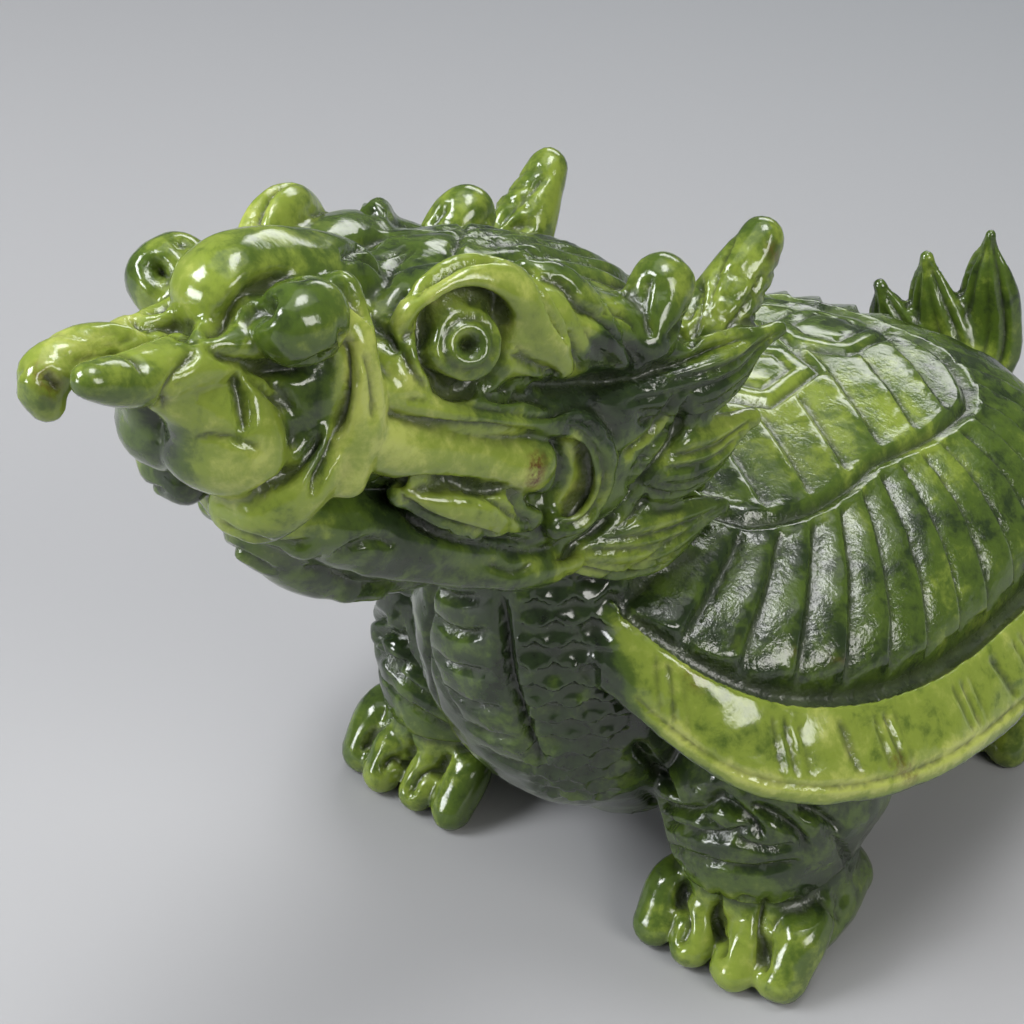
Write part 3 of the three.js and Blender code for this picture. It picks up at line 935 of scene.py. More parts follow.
@dataclass
class Carver:
    """Everything that cuts lines, scales and ribs into the skin.

    Attributes:
        skin: The skin that it cuts.
        shell: The shell, for the patterns over it.
        view: The camera through which the strokes are drawn.
        broad: Factor on the half width of every stroke.
        deep: Factor on the depth of every stroke.
    """

    skin: Skin
    shell: Shell
    view: PhotoView = field(default_factory=PhotoView)
    broad: float = 1.5
    deep: float = 1.75

    def __post_init__(self) -> None:
        """Keeps the uncut skin as a tree, for casting strokes onto it."""
        self.tree = BVHTree.FromPolygons(
            [tuple(row) for row in self.skin.co.tolist()],
            [tuple(face.vertices) for face in self.skin.thing.data.polygons],
        )

    def placed(self, stroke: Stroke) -> tuple[np.ndarray, np.ndarray, np.ndarray]:
        """Casts a stroke from the camera onto the skin.

        Args:
            stroke: The stroke in pixels.

        Returns:
            Points, normals and shares of full depth, without the samples that slip past an edge.
        """
        pixels, shares = stroke.samples()
        places, facing, kept = [], [], []
        origin = Vector(self.view.place)
        for (x, y), share in zip(pixels, shares):
            spot, normal, _, _ = self.tree.ray_cast(origin, self.view.ray(x, y))
            if spot is None:
                continue
            places.append(spot[:])
            facing.append(normal[:])
            kept.append(share)
        points = np.array(places)
        if not len(points):
            return points, np.array(facing), np.array(kept)
        depth = points @ np.array(self.view.axes()[0][:])
        good = np.abs(depth - np.median(depth)) < 14.0
        return points[good], np.array(facing)[good], np.array(kept)[good]

    def run(self, stroke: Stroke) -> None:
        """Cuts a stroke, and its mirror image on the far side where it has one.

        Args:
            stroke: The stroke.
        """
        points, facing, shares = self.placed(stroke)
        if len(points) < 2:
            log.warning("stroke %s misses the carving", stroke.name)
            return
        width, depth = stroke.width * self.broad, stroke.depth * self.deep
        self.skin.groove(points, facing, width, shares * depth)
        if not stroke.both:
            return
        mirrored, normals, kept = [], [], []
        for point, share in zip(points, shares):
            spot, normal, _, gap = self.tree.find_nearest(Vector((-point[0], point[1], point[2])))
            if spot is not None and gap < 2.5:
                mirrored.append(spot[:])
                normals.append(normal[:])
                kept.append(share)
        if len(mirrored) > 1:
            self.skin.groove(np.array(mirrored), np.array(normals), width, np.array(kept) * depth)

    def around(self, limb: Limb, reach: float = 1.35) -> tuple[np.ndarray, ...]:
        """Finds the skin that belongs to a limb.

        Args:
            limb: The limb.
            reach: How far outside its section the skin may lie, as a share of the section.

        Returns:
            Indices of the vertices, share along the limb, place across it and place up it in half
            sizes, half width there, and how surely each vertex belongs to it.
        """
        shares = np.linspace(0, 1, 48)
        frames = [limb.section(share) for share in shares]
        columns = [np.array(column) for column in zip(*frames)]
        centres, widest = columns[0], max(columns[4].max(), columns[5].max())
        found, _, nearest = self.skin.near(centres, widest * reach + 0.3)
        if not len(found):
            return (found,) * 6
        middle, tangents, sideways, upwards, wide, high = (column[nearest] for column in columns)
        away = self.skin.co[found] - middle
        across = np.einsum("ij,ij->i", away, sideways) / wide
        up = np.einsum("ij,ij->i", away, upwards) / high
        length = float(np.linalg.norm(np.diff(centres, axis=0), axis=1).sum())
        ahead = shares[nearest] + np.einsum("ij,ij->i", away, tangents) / max(length, 1e-6)
        belongs = 1 - smoothstep(1.12, reach, np.sqrt(across**2 + up**2))
        return found, ahead, across, up, wide, belongs

    def comb(
        self, limb: Limb, lines: int, depth: float, width: float = 0.42, lowest: float = -0.2,
    ) -> None:
        """Cuts hair lines along a limb.

        Args:
            limb: The limb.
            lines: How many lines lie side by side.
            depth: Depth in millimetres.
            width: Half width of a line in millimetres.
            lowest: How far round the limb the lines reach, in half heights above its middle.
        """
        found, ahead, across, up, wide, belongs = self.around(limb)
        if not len(found):
            return
        fade = smoothstep(-0.05, 0.15, ahead) * (1 - smoothstep(0.9, 1.04, ahead))
        fade = fade * belongs * (up > lowest)
        spread = 0.78
        for k in range(lines):
            line = -spread + 2 * spread * k / max(lines - 1, 1)
            gap = np.abs(across - line - 0.05 * math.sin(3.1 * k + 1)) * wide
            share = np.clip(1 - gap / width, 0, 1)
            strength = depth * (0.7 + 0.3 * math.cos(2.4 * k))
            self.skin.cut[found] = np.maximum(self.skin.cut[found], share * strength * fade)

    def notch(
        self, limb: Limb, places: tuple[float, ...], depth: float, width: float, slant: float = 0.0,
    ) -> None:
        """Cuts lines across a limb.

        Args:
            limb: The limb.
            places: Where they lie, as shares of its length.
            depth: Depth in millimetres.
            width: Half width in millimetres.
            slant: How far a line runs along the limb from its middle to its side, as a share of the
                length.
        """
        found, ahead, across, up, _, belongs = self.around(limb)
        if not len(found):
            return
        rows = limb.stations()
        length = float(np.linalg.norm(np.diff(rows[:, :3], axis=0), axis=1).sum())
        for place in places:
            gap = np.abs(ahead + slant * across - place) * length
            share = np.clip(1 - gap / width, 0, 1)
            cut = share * depth * belongs * (up > -0.5)
            self.skin.cut[found] = np.maximum(self.skin.cut[found], cut)

    def eyes(self, eye: tuple[float, float, float, float]) -> None:
        """Cuts the rings of the eye and drills the pupil, on both sides, and paints shade into the
        pupil and the groove round the ball.

        Args:
            eye: Centre and radius of the eyeball in millimetres.
        """
        x, y, z, radius = eye
        rings = ((0.0, 1.35, 2.8), (2.05, 0.42, 0.5), (3.55, 0.8, 2.2))
        for side in BOTH:
            look = np.array([0.76 * side.value, -0.46, 0.46])
            look /= np.linalg.norm(look)
            away = self.skin.co - np.array([x * side.value, y, z])
            ahead = away @ look
            off = np.linalg.norm(away - ahead[:, None] * look, axis=1)
            front = (ahead > -0.9) & (ahead < radius + 1.4) & (off < 4.6)
            front &= self.skin.no @ look > -0.1
            for place, width, depth in rings:
                self.skin.lower(front, off - place, width, depth)
            # Painted shade: the pupil and the groove round the ball are darkened in the colour through
            # the hollow shade mask
            pupil, ring = 1 - smoothstep(0.7, 1.15, off), 1 - smoothstep(0.1, 0.6, np.abs(off - 3.5))
            shade = np.where(front, np.maximum(pupil, ring), 0.0)
            self.skin.shade = np.maximum(self.skin.shade, shade)

    def scales(
        self, where: np.ndarray, around: np.ndarray, down: np.ndarray, size: float, lift: float,
    ) -> None:
        """Raises overlapping scales.

        Args:
            where: How strongly each vertex takes part, from 0 to 1.
            around: Place across the rows in millimetres.
            down: Place down the rows in millimetres.
            size: Width of a scale in millimetres.
            lift: Height of a scale's edge in millimetres.
        """
        row_gap = size * 0.72
        radius = size * 0.62
        best = np.full(len(around), -1.0)
        row = np.floor(down / row_gap)
        for step in (-1, 0, 1):
            index = row + step
            shift = np.where(index % 2 == 0, 0.0, 0.5) * size
            middle = np.round((around - shift) / size) * size + shift
            off = np.sqrt((around - middle) ** 2 + ((down - (index + 0.15) * row_gap) * 1.02) ** 2)
            inside = (off < radius) & (best < 0)
            best = np.where(inside, off / radius, best)
        height = np.where(best >= 0, best**2, 0.0)
        self.skin.rise += where * lift * (height - 0.6)

    def dome(self) -> tuple[np.ndarray, np.ndarray, np.ndarray]:
        """Place of every vertex on the shell.

        Returns:
            Turn round the shell, reach from its top (1 at the seam) and height of the seam there.
        """
        power = 1 / self.shell.squareness
        x = self.skin.co[:, 0] / self.shell.half_width
        y = (self.skin.co[:, 1] - self.shell.middle) / self.shell.half_length
        reach = (np.abs(x) ** (2 * power) + np.abs(y) ** (2 * power)) ** (1 / (2 * power))
        turn = np.arctan2(np.copysign(np.abs(y) ** power, y), np.copysign(np.abs(x) ** power, x))
        front = np.maximum(0.0, -np.sin(turn))
        return turn, reach, self.shell.seam(front)

    def clear_of_neck(self) -> np.ndarray:
        """Tells shell and rim from neck and head.

        Returns:
            1 for vertices away from the neck and the head, fading to 0 on them.
        """
        angle, away = self.round_neck()
        _, y, z = self.skin.co.T
        beside = smoothstep(0.95, 1.2, np.abs(angle))
        return smoothstep(13.4, 14.4, away) * beside * (y > -42.0) * (z < 46.0)

    def round_neck(self) -> tuple[np.ndarray, np.ndarray]:
        """Returns the turn of every vertex round the neck and its distance from the neck's middle."""
        x, ahead = self.skin.co[:, 0], self.skin.co[:, 1] - NECK_MIDDLE
        return np.arctan2(x, -ahead), np.hypot(x, ahead)

    def perimeter(self, turn: np.ndarray) -> np.ndarray:
        """Measures the way round the shell from the left flank.

        Args:
            turn: Turn of each vertex round the shell.

        Returns:
            The way in millimetres, signed by the turn.
        """
        half = 360
        turns = np.linspace(-math.pi, math.pi, 2 * half + 1)
        wide, long = self.shell.half_width, self.shell.half_length
        points = np.array([self.shell.oval(t, wide, long) for t in turns])
        steps = np.linalg.norm(np.diff(points, axis=0), axis=1)
        run = np.concatenate([[0.0], np.cumsum(steps)])
        return np.interp(turn, turns, run - run[half])

    def ribs(self, where: np.ndarray, place: np.ndarray, gap: float, depth: float, tilt: float) -> None:
        """Cuts ribs that each fall away towards the next, with a groove between.

        Args:
            where: How strongly each vertex takes part, from 0 to 1.
            place: Place across the ribs in millimetres.
            gap: Distance between ribs in millimetres.
            depth: Depth of the groove in millimetres.
            tilt: How far a rib falls away over its width, in millimetres.
        """
        share = place / gap - np.floor(place / gap)
        distance = np.minimum(share, 1 - share) * gap
        groove = np.clip(1 - distance / 0.85, 0, 1) ** 1.2 * depth
        fall = (1 - share) * tilt * smoothstep(0.0, 0.12, share)
        self.skin.cut = np.maximum(self.skin.cut, where * (groove + fall))

    def carve_shell(self) -> None:
        """Cuts scutes, ribs and seam of the shell, and the lines over its rim."""
        turn, reach, seam = self.dome()
        x, y, z = self.skin.co.T
        angle = np.arcsin(np.clip(reach, 0, 1))
        height = seam + (self.shell.top - seam) * np.cos(angle)
        on_dome = (np.abs(z - height) < 1.6) & (reach < 1.03)
        mean_radius = 30.0

        # The border between top and flank runs in low points, one for each scute of the flank
        scute, lowest = 58.0, -35.0
        flank_way = self.perimeter(np.arctan2(np.sin(turn), np.abs(np.cos(turn))))
        place = (flank_way - lowest) / scute
        inward = reach - (0.555 + 0.085 * np.abs(place - np.floor(place) - 0.5) * 2)
        flank = on_dome * smoothstep(0.02, 0.06, inward) * (1 - smoothstep(0.995, 1.015, reach))
        self.ribs(flank, flank_way + 14.0 * (reach - 0.6) + 1.4, 5.6, 1.15, 0.95)
        side = np.abs(x)
        top = on_dome * (1 - smoothstep(-0.07, -0.02, inward)) * smoothstep(0.16, 0.24, reach)
        self.ribs(top, y + 0.62 * side, 6.2, 0.85, 0.75)
        self.skin.lower(on_dome, inward * mean_radius, 1.15, 1.25)

        # Hexagonal plates over the spine, each with a smaller one in it
        plate_gap, plate_size = 15.0, 6.0
        along = y - self.shell.middle
        across = np.abs(along - np.round(along / plate_gap) * plate_gap)
        plate = np.maximum(side / 5.4, (side * 0.5 + across) / 7.2)
        spine = on_dome & (np.abs(along) < 23.0)
        self.skin.cut = np.where(spine & (plate < 1), self.skin.cut * 0.15, self.skin.cut)
        self.skin.lower(spine, (plate - 1) * plate_size, 1.0, 0.9)
        self.skin.lower(spine, (plate - 0.55) * plate_size, 0.6, 0.4)

        near_seam = (np.abs(z - seam) < 2.4) & (reach > 0.93) & (reach < 1.1)
        near_seam &= self.clear_of_neck() > 0.5
        self.skin.lower(near_seam, (reach - 1.005) * mean_radius, 0.95, 1.2)
        self.carve_rim(self.perimeter(turn), reach, seam)

    def carve_rim(self, around: np.ndarray, reach: np.ndarray, seam: np.ndarray) -> None:
        """Cuts the groups of short lines over the rim and the line along its edge.

        Args:
            around: Way of each vertex round the shell in millimetres.
            reach: Reach of each vertex from the top of the dome.
            seam: Height of the seam over each vertex.
        """
        fall = seam - self.skin.co[:, 2]
        outer = (reach > 1.02) & (reach < 1.26) & (fall > -0.6) & (fall < self.shell.rim_fall + 1.5)
        outer &= self.clear_of_neck() > 0.5
        band = smoothstep(0.4, 1.4, fall) * (1 - smoothstep(4.6, 5.6, fall))
        gap, fine = 10.4, 1.25
        group = around / gap - np.round(around / gap)
        for line, strength in ((-1, 0.8), (0, 1.0), (1, 0.55)):
            distance = group * gap - line * fine - 0.25 * fall
            share = np.clip(1 - np.abs(distance) / 0.42, 0, 1)
            self.skin.cut = np.maximum(self.skin.cut, outer * band * share * 0.38 * strength)
        notch = (around + gap / 2) / (2 * gap) - np.round((around + gap / 2) / (2 * gap))
        share = np.clip(1 - np.abs(notch * 2 * gap - 0.4 * fall) / 0.8, 0, 1)
        self.skin.cut = np.maximum(self.skin.cut, outer * band * share * 0.45)
        self.skin.lower(outer, fall - (self.shell.rim_fall - 0.6), 0.5, 0.42)

    def carve_neck(self) -> None:
        """Raises the scales on both sides of the neck's bands."""
        _, y, z = self.skin.co.T
        angle, away = self.round_neck()
        on_neck = (y < -27) & (z > 15) & (z < 53) & (away < 15.5) & (self.skin.no[:, 2] < 0.75)
        left = smoothstep(0.38, 0.46, angle) * (1 - smoothstep(1.05, 1.3, angle))
        right = smoothstep(0.38, 0.46, -angle) * (1 - smoothstep(1.05, 1.3, -angle))
        fade = smoothstep(15, 19, z) * (1 - smoothstep(46, 50, z)) * (1 - smoothstep(14.2, 15.2, away))
        strength = on_neck * (left + right * smoothstep(0.75, 0.85, -angle)) * fade
        neck_radius = 12.0
        self.scales(strength, angle * neck_radius, -z, 3.1, 1.0)

    def carve_crown(self) -> None:
        """Cuts the hair that sweeps over the crown from brow to nape."""
        x, y, z = self.skin.co.T
        crown = smoothstep(-45, -41, y) * (1 - smoothstep(-22, -18, y)) * (z > 60)
        crown = crown * (self.skin.no[:, 2] > 0.05) * (1 - smoothstep(8.2, 9.2, np.abs(x)))
        place = np.abs(x) + 0.4 * np.sin(y * 0.5) - 0.07 * (y + 45) + 0.8
        self.ribs(crown, place, 2.3, 0.55, 0.4)

    def carve_legs(self, leg: Leg) -> None:
        """Cuts the groove round the ankles and the scales over the hind legs.

        Args:
            leg: The front leg.
        """
        x, y, z = self.skin.co.T
        shank_radius = 10.5
        for backwards in (0.0, HIND_LEGS):
            beside, behind = np.abs(x) - leg.spread + 2.0, y + 18.5 - backwards
            near_leg = np.hypot(beside, behind) < 14.5
            self.skin.lower(near_leg, z - 9.6 - 0.08 * (y + 18 - backwards), 1.1, 1.0)
            if backwards:
                part = near_leg * smoothstep(10.6, 12.0, z) * (1 - smoothstep(20, 23, z))
                self.scales(part, np.arctan2(beside, -behind) * shank_radius, -z, 5.2, 0.6)

    def waves(self) -> None:
        """Leaves the faint waves of hand polishing all over the skin."""
        chance = np.random.default_rng(7)
        total = np.zeros(len(self.skin.co))
        for length, height in ((9.0, 0.04), (5.0, 0.022), (2.8, 0.012), (1.6, 0.006)):
            for _ in range(7):
                way = chance.normal(size=3)
                way *= 2 * math.pi / (length * np.linalg.norm(way))
                total += height * np.sin(self.skin.co @ way + chance.uniform(0, FULL_TURN))
        self.skin.rise += total


@dataclass(frozen=True)
class ToneSpot:
    """A place where the stone is lighter or darker than round it.

    Attributes:
        name: What lies there.
        place: Middle of the spot in millimetres, on the animal's left; the right side has it too.
        radius: How far it reaches in millimetres.
        tone: From 0, nearly black green, to 1, bright yellow green.
    """

    name: str
    place: tuple[float, float, float]
    radius: float
    tone: float


TONE_SPOTS = (
    ToneSpot("neck", (6, -38, 40), 13, 0.16),
    ToneSpot("neck, lower", (5, -34, 25), 13, 0.16),
    ToneSpot("jaw", (6, -58, 60), 7, 0.14),
    ToneSpot("cheek", (12, -40, 68), 7, 0.14),
    ToneSpot("cheek, back", (13, -34, 60), 8, 0.24),
    ToneSpot("forehead", (3, -49, 84), 6, 0.34),
    ToneSpot("snout", (0, -68, 83), 8, 0.66),
    ToneSpot("lip lobes", (4, -74, 73), 9, 1.0),
    ToneSpot("folded lobe", (7, -68, 70.5), 4, 0.75),
    ToneSpot("snout lobes", (0, -79, 82), 7, 0.86),
    ToneSpot("muzzle", (8.2, -63, 74), 5, 0.96),
    ToneSpot("bar, front", (9.5, -58, 70), 4.5, 0.97),
    ToneSpot("bar, back", (11.6, -51, 66.5), 4.5, 0.84),
    ToneSpot("brow", (10, -53, 82.4), 4.5, 0.92),
    ToneSpot("brow, back", (12.6, -47.2, 77.5), 4.5, 0.96),
    ToneSpot("eye", (11.2, -55.5, 78.6), 3.0, 0.66),
    ToneSpot("curl", (13.2, -42.5, 61), 3.6, 0.72),
    ToneSpot("lip leaf", (11.4, -54.5, 62.7), 4.2, 0.78),
    ToneSpot("leaves", (10.5, -36, 74), 5, 0.60),
    ToneSpot("knob", (11, -30, 73), 5, 0.66),
    ToneSpot("horn", (11.6, -18, 70.5), 6, 0.72),
    ToneSpot("mane, ends", (16, -22, 60), 7, 0.5),
    ToneSpot("lowest lock", (13.5, -34, 50.5), 5, 0.72),
    ToneSpot("front foot", (22, -28, 3.5), 8, 0.82),
    ToneSpot("front ankle", (22, -20, 13), 9, 0.1),
    ToneSpot("hind foot", (22, 19, 3), 8, 0.80),
    ToneSpot("tail", (0, 51, 36), 8, 0.60),
    ToneSpot("shell, shoulder", (18, -24, 40), 8, 0.26),
    ToneSpot("shell, flank", (24, -5, 38), 9, 0.48),
    ToneSpot("shell, top", (10, 2, 46), 12, 0.74),
)


@dataclass(frozen=True)
class Tint:
    """A vein or cloud in the stone, or a patch of painted shade, placed through the photograph.

    Attributes:
        name: What it lies on.
        points: Pixels that it runs through.
        radius: Half width in millimetres.
        tone: From 0, nearly black green, to 1, bright yellow green.
        both: True if the far side of the animal has it too.
    """

    name: str
    points: tuple[tuple[float, float], ...]
    radius: float
    tone: float
    both: bool = True


TINTS = (
    Tint("side of the lip behind the lobes", (
        (303, 388), (310, 404), (318, 420), (322, 440)), 2.2, 0.34),
    Tint("muzzle band", (
        (356, 322), (362, 350), (362, 390), (358, 430), (348, 470), (332, 498)), 1.7, 0.84),
    Tint("slope below the eye", ((374, 378), (396, 388), (420, 396), (456, 404)), 1.6, 0.8),
    Tint("bar", ((369, 446), (415, 450), (461, 456), (508, 462), (532, 470)), 1.9, 0.8),
    Tint("end of the bar", ((546, 460), (552, 474)), 1.0, 0.62),
    Tint("brow arch", (
        (406, 318), (428, 296), (452, 284), (480, 278), (508, 284), (528, 306), (548, 334),
        (566, 358)), 1.7, 0.74),
    Tint("end of the brow arch", ((572, 368), (578, 378)), 1.0, 0.7),
    Tint("eyeball", ((450, 330), (478, 352)), 1.5, 0.52),
    Tint("first leaf", ((546, 290), (566, 312), (588, 336)), 1.7, 0.68),
    Tint("lower end of the first leaf", ((606, 348), (622, 358), (632, 368)), 1.6, 0.2),
    Tint("leaves before the knob", ((600, 300), (622, 306), (640, 318)), 1.6, 0.6),
    Tint("knob", ((662, 262), (676, 284), (672, 306)), 1.7, 0.5),
    Tint("horn", ((760, 240), (740, 268), (722, 296), (708, 326)), 2.2, 0.6),
    Tint("curl, inner", ((571, 440), (582, 460), (583, 482), (573, 500)), 1.1, 0.9),
    Tint("curl, outer", ((590, 448), (600, 470), (600, 492), (584, 516)), 0.9, 0.55),
    Tint("lip leaf", ((420, 490), (446, 500), (470, 508), (498, 520), (514, 528)), 1.6, 0.8),
    Tint("jaw band", ((462, 556), (484, 564), (515, 569), (536, 564)), 0.9, 0.5),
    Tint("upper lock", ((716, 350), (744, 338), (768, 330), (786, 328)), 1.9, 0.6),
    Tint("cheek feather", ((632, 452), (650, 438), (664, 424)), 0.9, 0.7),
    Tint("second lock", ((672, 456), (700, 444), (726, 430), (748, 420)), 1.6, 0.6),
    Tint("third lock", ((650, 512), (676, 504), (700, 504)), 1.6, 0.45),
    Tint("lowest lock", ((566, 566), (600, 566), (640, 552), (672, 530)), 1.6, 0.66),
    Tint("upper side of the lip lobe", ((196, 372), (214, 388), (240, 398), (262, 404)), 2.6, 0.78),
    Tint("front of the lip lobe", ((186, 446), (200, 474), (226, 478)), 2.8, 0.9),
    Tint("nose", ((196, 268), (222, 250), (256, 248)), 3.4, 0.58),
    Tint("nose wing", ((290, 300), (304, 318), (312, 336)), 2.6, 0.42),
    Tint("tip of the far lip curl", ((36, 352), (48, 346), (70, 342)), 2.4, 0.8, both=False),
    Tint("near lip curl", ((80, 376), (104, 378), (128, 384)), 2.2, 0.58, both=False),
    Tint("front of the rim", ((626, 628), (640, 652), (664, 680)), 2.0, 0.6),
    # Painted shade: the far lip lobe and the far folded lobe are darkened in the colour, standing in
    # for the shade on their far side
    Tint("far lobe", ((126, 436), (136, 436), (150, 440)), 4.0, 0.26, both=False),
    Tint("far folded lobe", ((160, 478), (176, 486), (190, 494)), 2.6, 0.24, both=False),
)


@dataclass(frozen=True)
class Stain:
    """A stain in the stone, placed through the photograph.

    Attributes:
        name: What it is.
        points: Pixels that it runs through.
        radius: Half width in millimetres.
        strength: Strength from 0 to 1.
    """

    name: str
    points: tuple[tuple[float, float], ...]
    radius: float
    strength: float


RUST_STAINS = (
    Stain("rust spot at the end of the bar", ((536, 461), (537, 470), (533, 480)), 0.75, 0.9),
    Stain("rust in the curl of the far lobe", ((40, 372), (47, 380), (53, 388)), 0.7, 0.5),
    Stain("tan vein over the flank", (
        (735, 640), (762, 648), (790, 650), (822, 656), (856, 662)), 0.32, 0.55),
    Stain("tan fleck on the rim", ((898, 760), (908, 772), (914, 782)), 0.7, 0.5),
    Stain("tan fleck at the seam", ((690, 678), (700, 684)), 0.6, 0.45),
    Stain("chip on the horn", ((772, 250), (776, 256)), 0.6, 0.5),
)


def linear(code: str) -> tuple[float, float, float, float]:
    """Turns an sRGB hex colour into linear values.

    Args:
        code: Six hex digits, with or without a leading hash.

    Returns:
        Red, green, blue and an alpha of 1.
    """
    digits = code.lstrip("#")
    shares = [int(digits[k:k + 2], 16) / 255 for k in (0, 2, 4)]
    return (*(v / 12.92 if v <= 0.04045 else ((v + 0.055) / 1.055) ** 2.4 for v in shares), 1.0)


@dataclass(frozen=True)
class JadeFinish:
    """Polished nephrite with a wet-looking wax gloss.

    The eye gets three things from it: sharp white lights on every edge, a soft glow where the stone is
    thin, and colour that clouds from nearly black green to yellow green over a few millimetres.

    Attributes:
        deepest: Darkest green, at tone 0; dark, middle, light and brightest follow at the stops.
        stops: Tones at which the five greens lie.
        hollow_shade: Painted shade: the dark green that the hollows darken to, for the shade that falls
            in them.
        dust: Grey green of the wax left in the deepest hollows.
        rust: Brown of the stains.
        weights: How far clouds, flecks and grain move the tone.
        painted_shade_share: How much of the painted shade green the hollows take.
        dust_share: How much dust the flecks leave in them.
        rust_grain: Offset and gain that break the stains up along the grain.
        index: Index of refraction.
        roughness: Roughness of the polish.
        dull: How much rougher hollows and flecks are.
        glow: Share of the light that goes through the stone.
        glow_mm: How far it goes, in millimetres.
        cloud_mm: Size of the clouds; fleck_mm, grain_mm and scratch_mm are those of the finer patterns.
        relief: Share of scratches, grain and tool marks in the bump.
        bump: Strength and height of the bump, the height in metres.
    """

    deepest: str = "#141c0e"
    dark: str = "#26341a"
    middle: str = "#46591f"
    light: str = "#788834"
    brightest: str = "#a0a856"
    stops: tuple[float, ...] = (0.0, 0.22, 0.45, 0.72, 0.98)
    # Painted shade: the dark green that grooves and creases take in the colour
    hollow_shade: str = "#18220f"
    dust: str = "#5d6450"
    rust: str = "#523317"
    weights: tuple[float, float, float] = (0.85, 0.7, 0.12)
    painted_shade_share: float = 0.72
    dust_share: float = 0.3
    rust_grain: tuple[float, float] = (-1.1, 3.6)
    index: float = 1.58
    roughness: float = 0.12
    dull: tuple[float, float] = (0.16, 0.12)
    glow: float = 0.28
    glow_mm: float = 0.8
    cloud_mm: float = 9.0
    fleck_mm: float = 2.1
    grain_mm: float = 0.55
    scratch_mm: float = 1.4
    relief: tuple[float, float, float] = (0.6, 0.5, 3.4)
    bump: tuple[float, float] = (0.34, 0.00008)

    def greens(self) -> tuple[tuple[float, str], ...]:
        """Returns the five greens with their tones."""
        codes = (self.deepest, self.dark, self.middle, self.light, self.brightest)
        return tuple(zip(self.stops, codes))


@dataclass(frozen=True)
class FloorWithPaintedShade:
    """Matt pale paper, its colour darkening a little towards the back as painted shade.

    Attributes:
        near: Colour at the front.
        far: Colour at the back, darkened by painted shade.
        fade: Where the painted shade starts and ends, in metres behind the carving.
        roughness: Its roughness.
    """

    near: str = "#9a9a9c"
    far: str = "#72767a"
    fade: tuple[float, float] = (-0.05, 0.45)
    roughness: float = 0.7


def add_node(
    tree: bpy.types.NodeTree, kind: str, links: dict[str | int, object] | None = None,
    **settings: object,
) -> bpy.types.Node:
    """Adds a node with its settings and links.

    Args:
        tree: The node tree.
        kind: Type name of the node.
        links: Input name or index, with the output socket or the constant that goes in.
        settings: Properties of the node.

    Returns:
        The node.
    """
    made = tree.nodes.new(kind)
    for name, value in settings.items():
        setattr(made, name, value)
    for key, value in (links or {}).items():
        if isinstance(value, bpy.types.NodeSocket):
            tree.links.new(value, made.inputs[key])
        else:
            made.inputs[key].default_value = value
    return made


def set_stops(ramp: bpy.types.Node, stops: tuple[tuple[float, str], ...]) -> None:
    """Sets the stops of a colour ramp.

    Args:
        ramp: The node of the ramp.
        stops: Place and hex colour of each stop.
    """
    ramp.color_ramp.interpolation = "EASE"
    elements = ramp.color_ramp.elements
    while len(elements) < len(stops):
        elements.new(0.5)
    for element, (place, code) in zip(elements, stops):
        element.position = place
        element.color = linear(code)


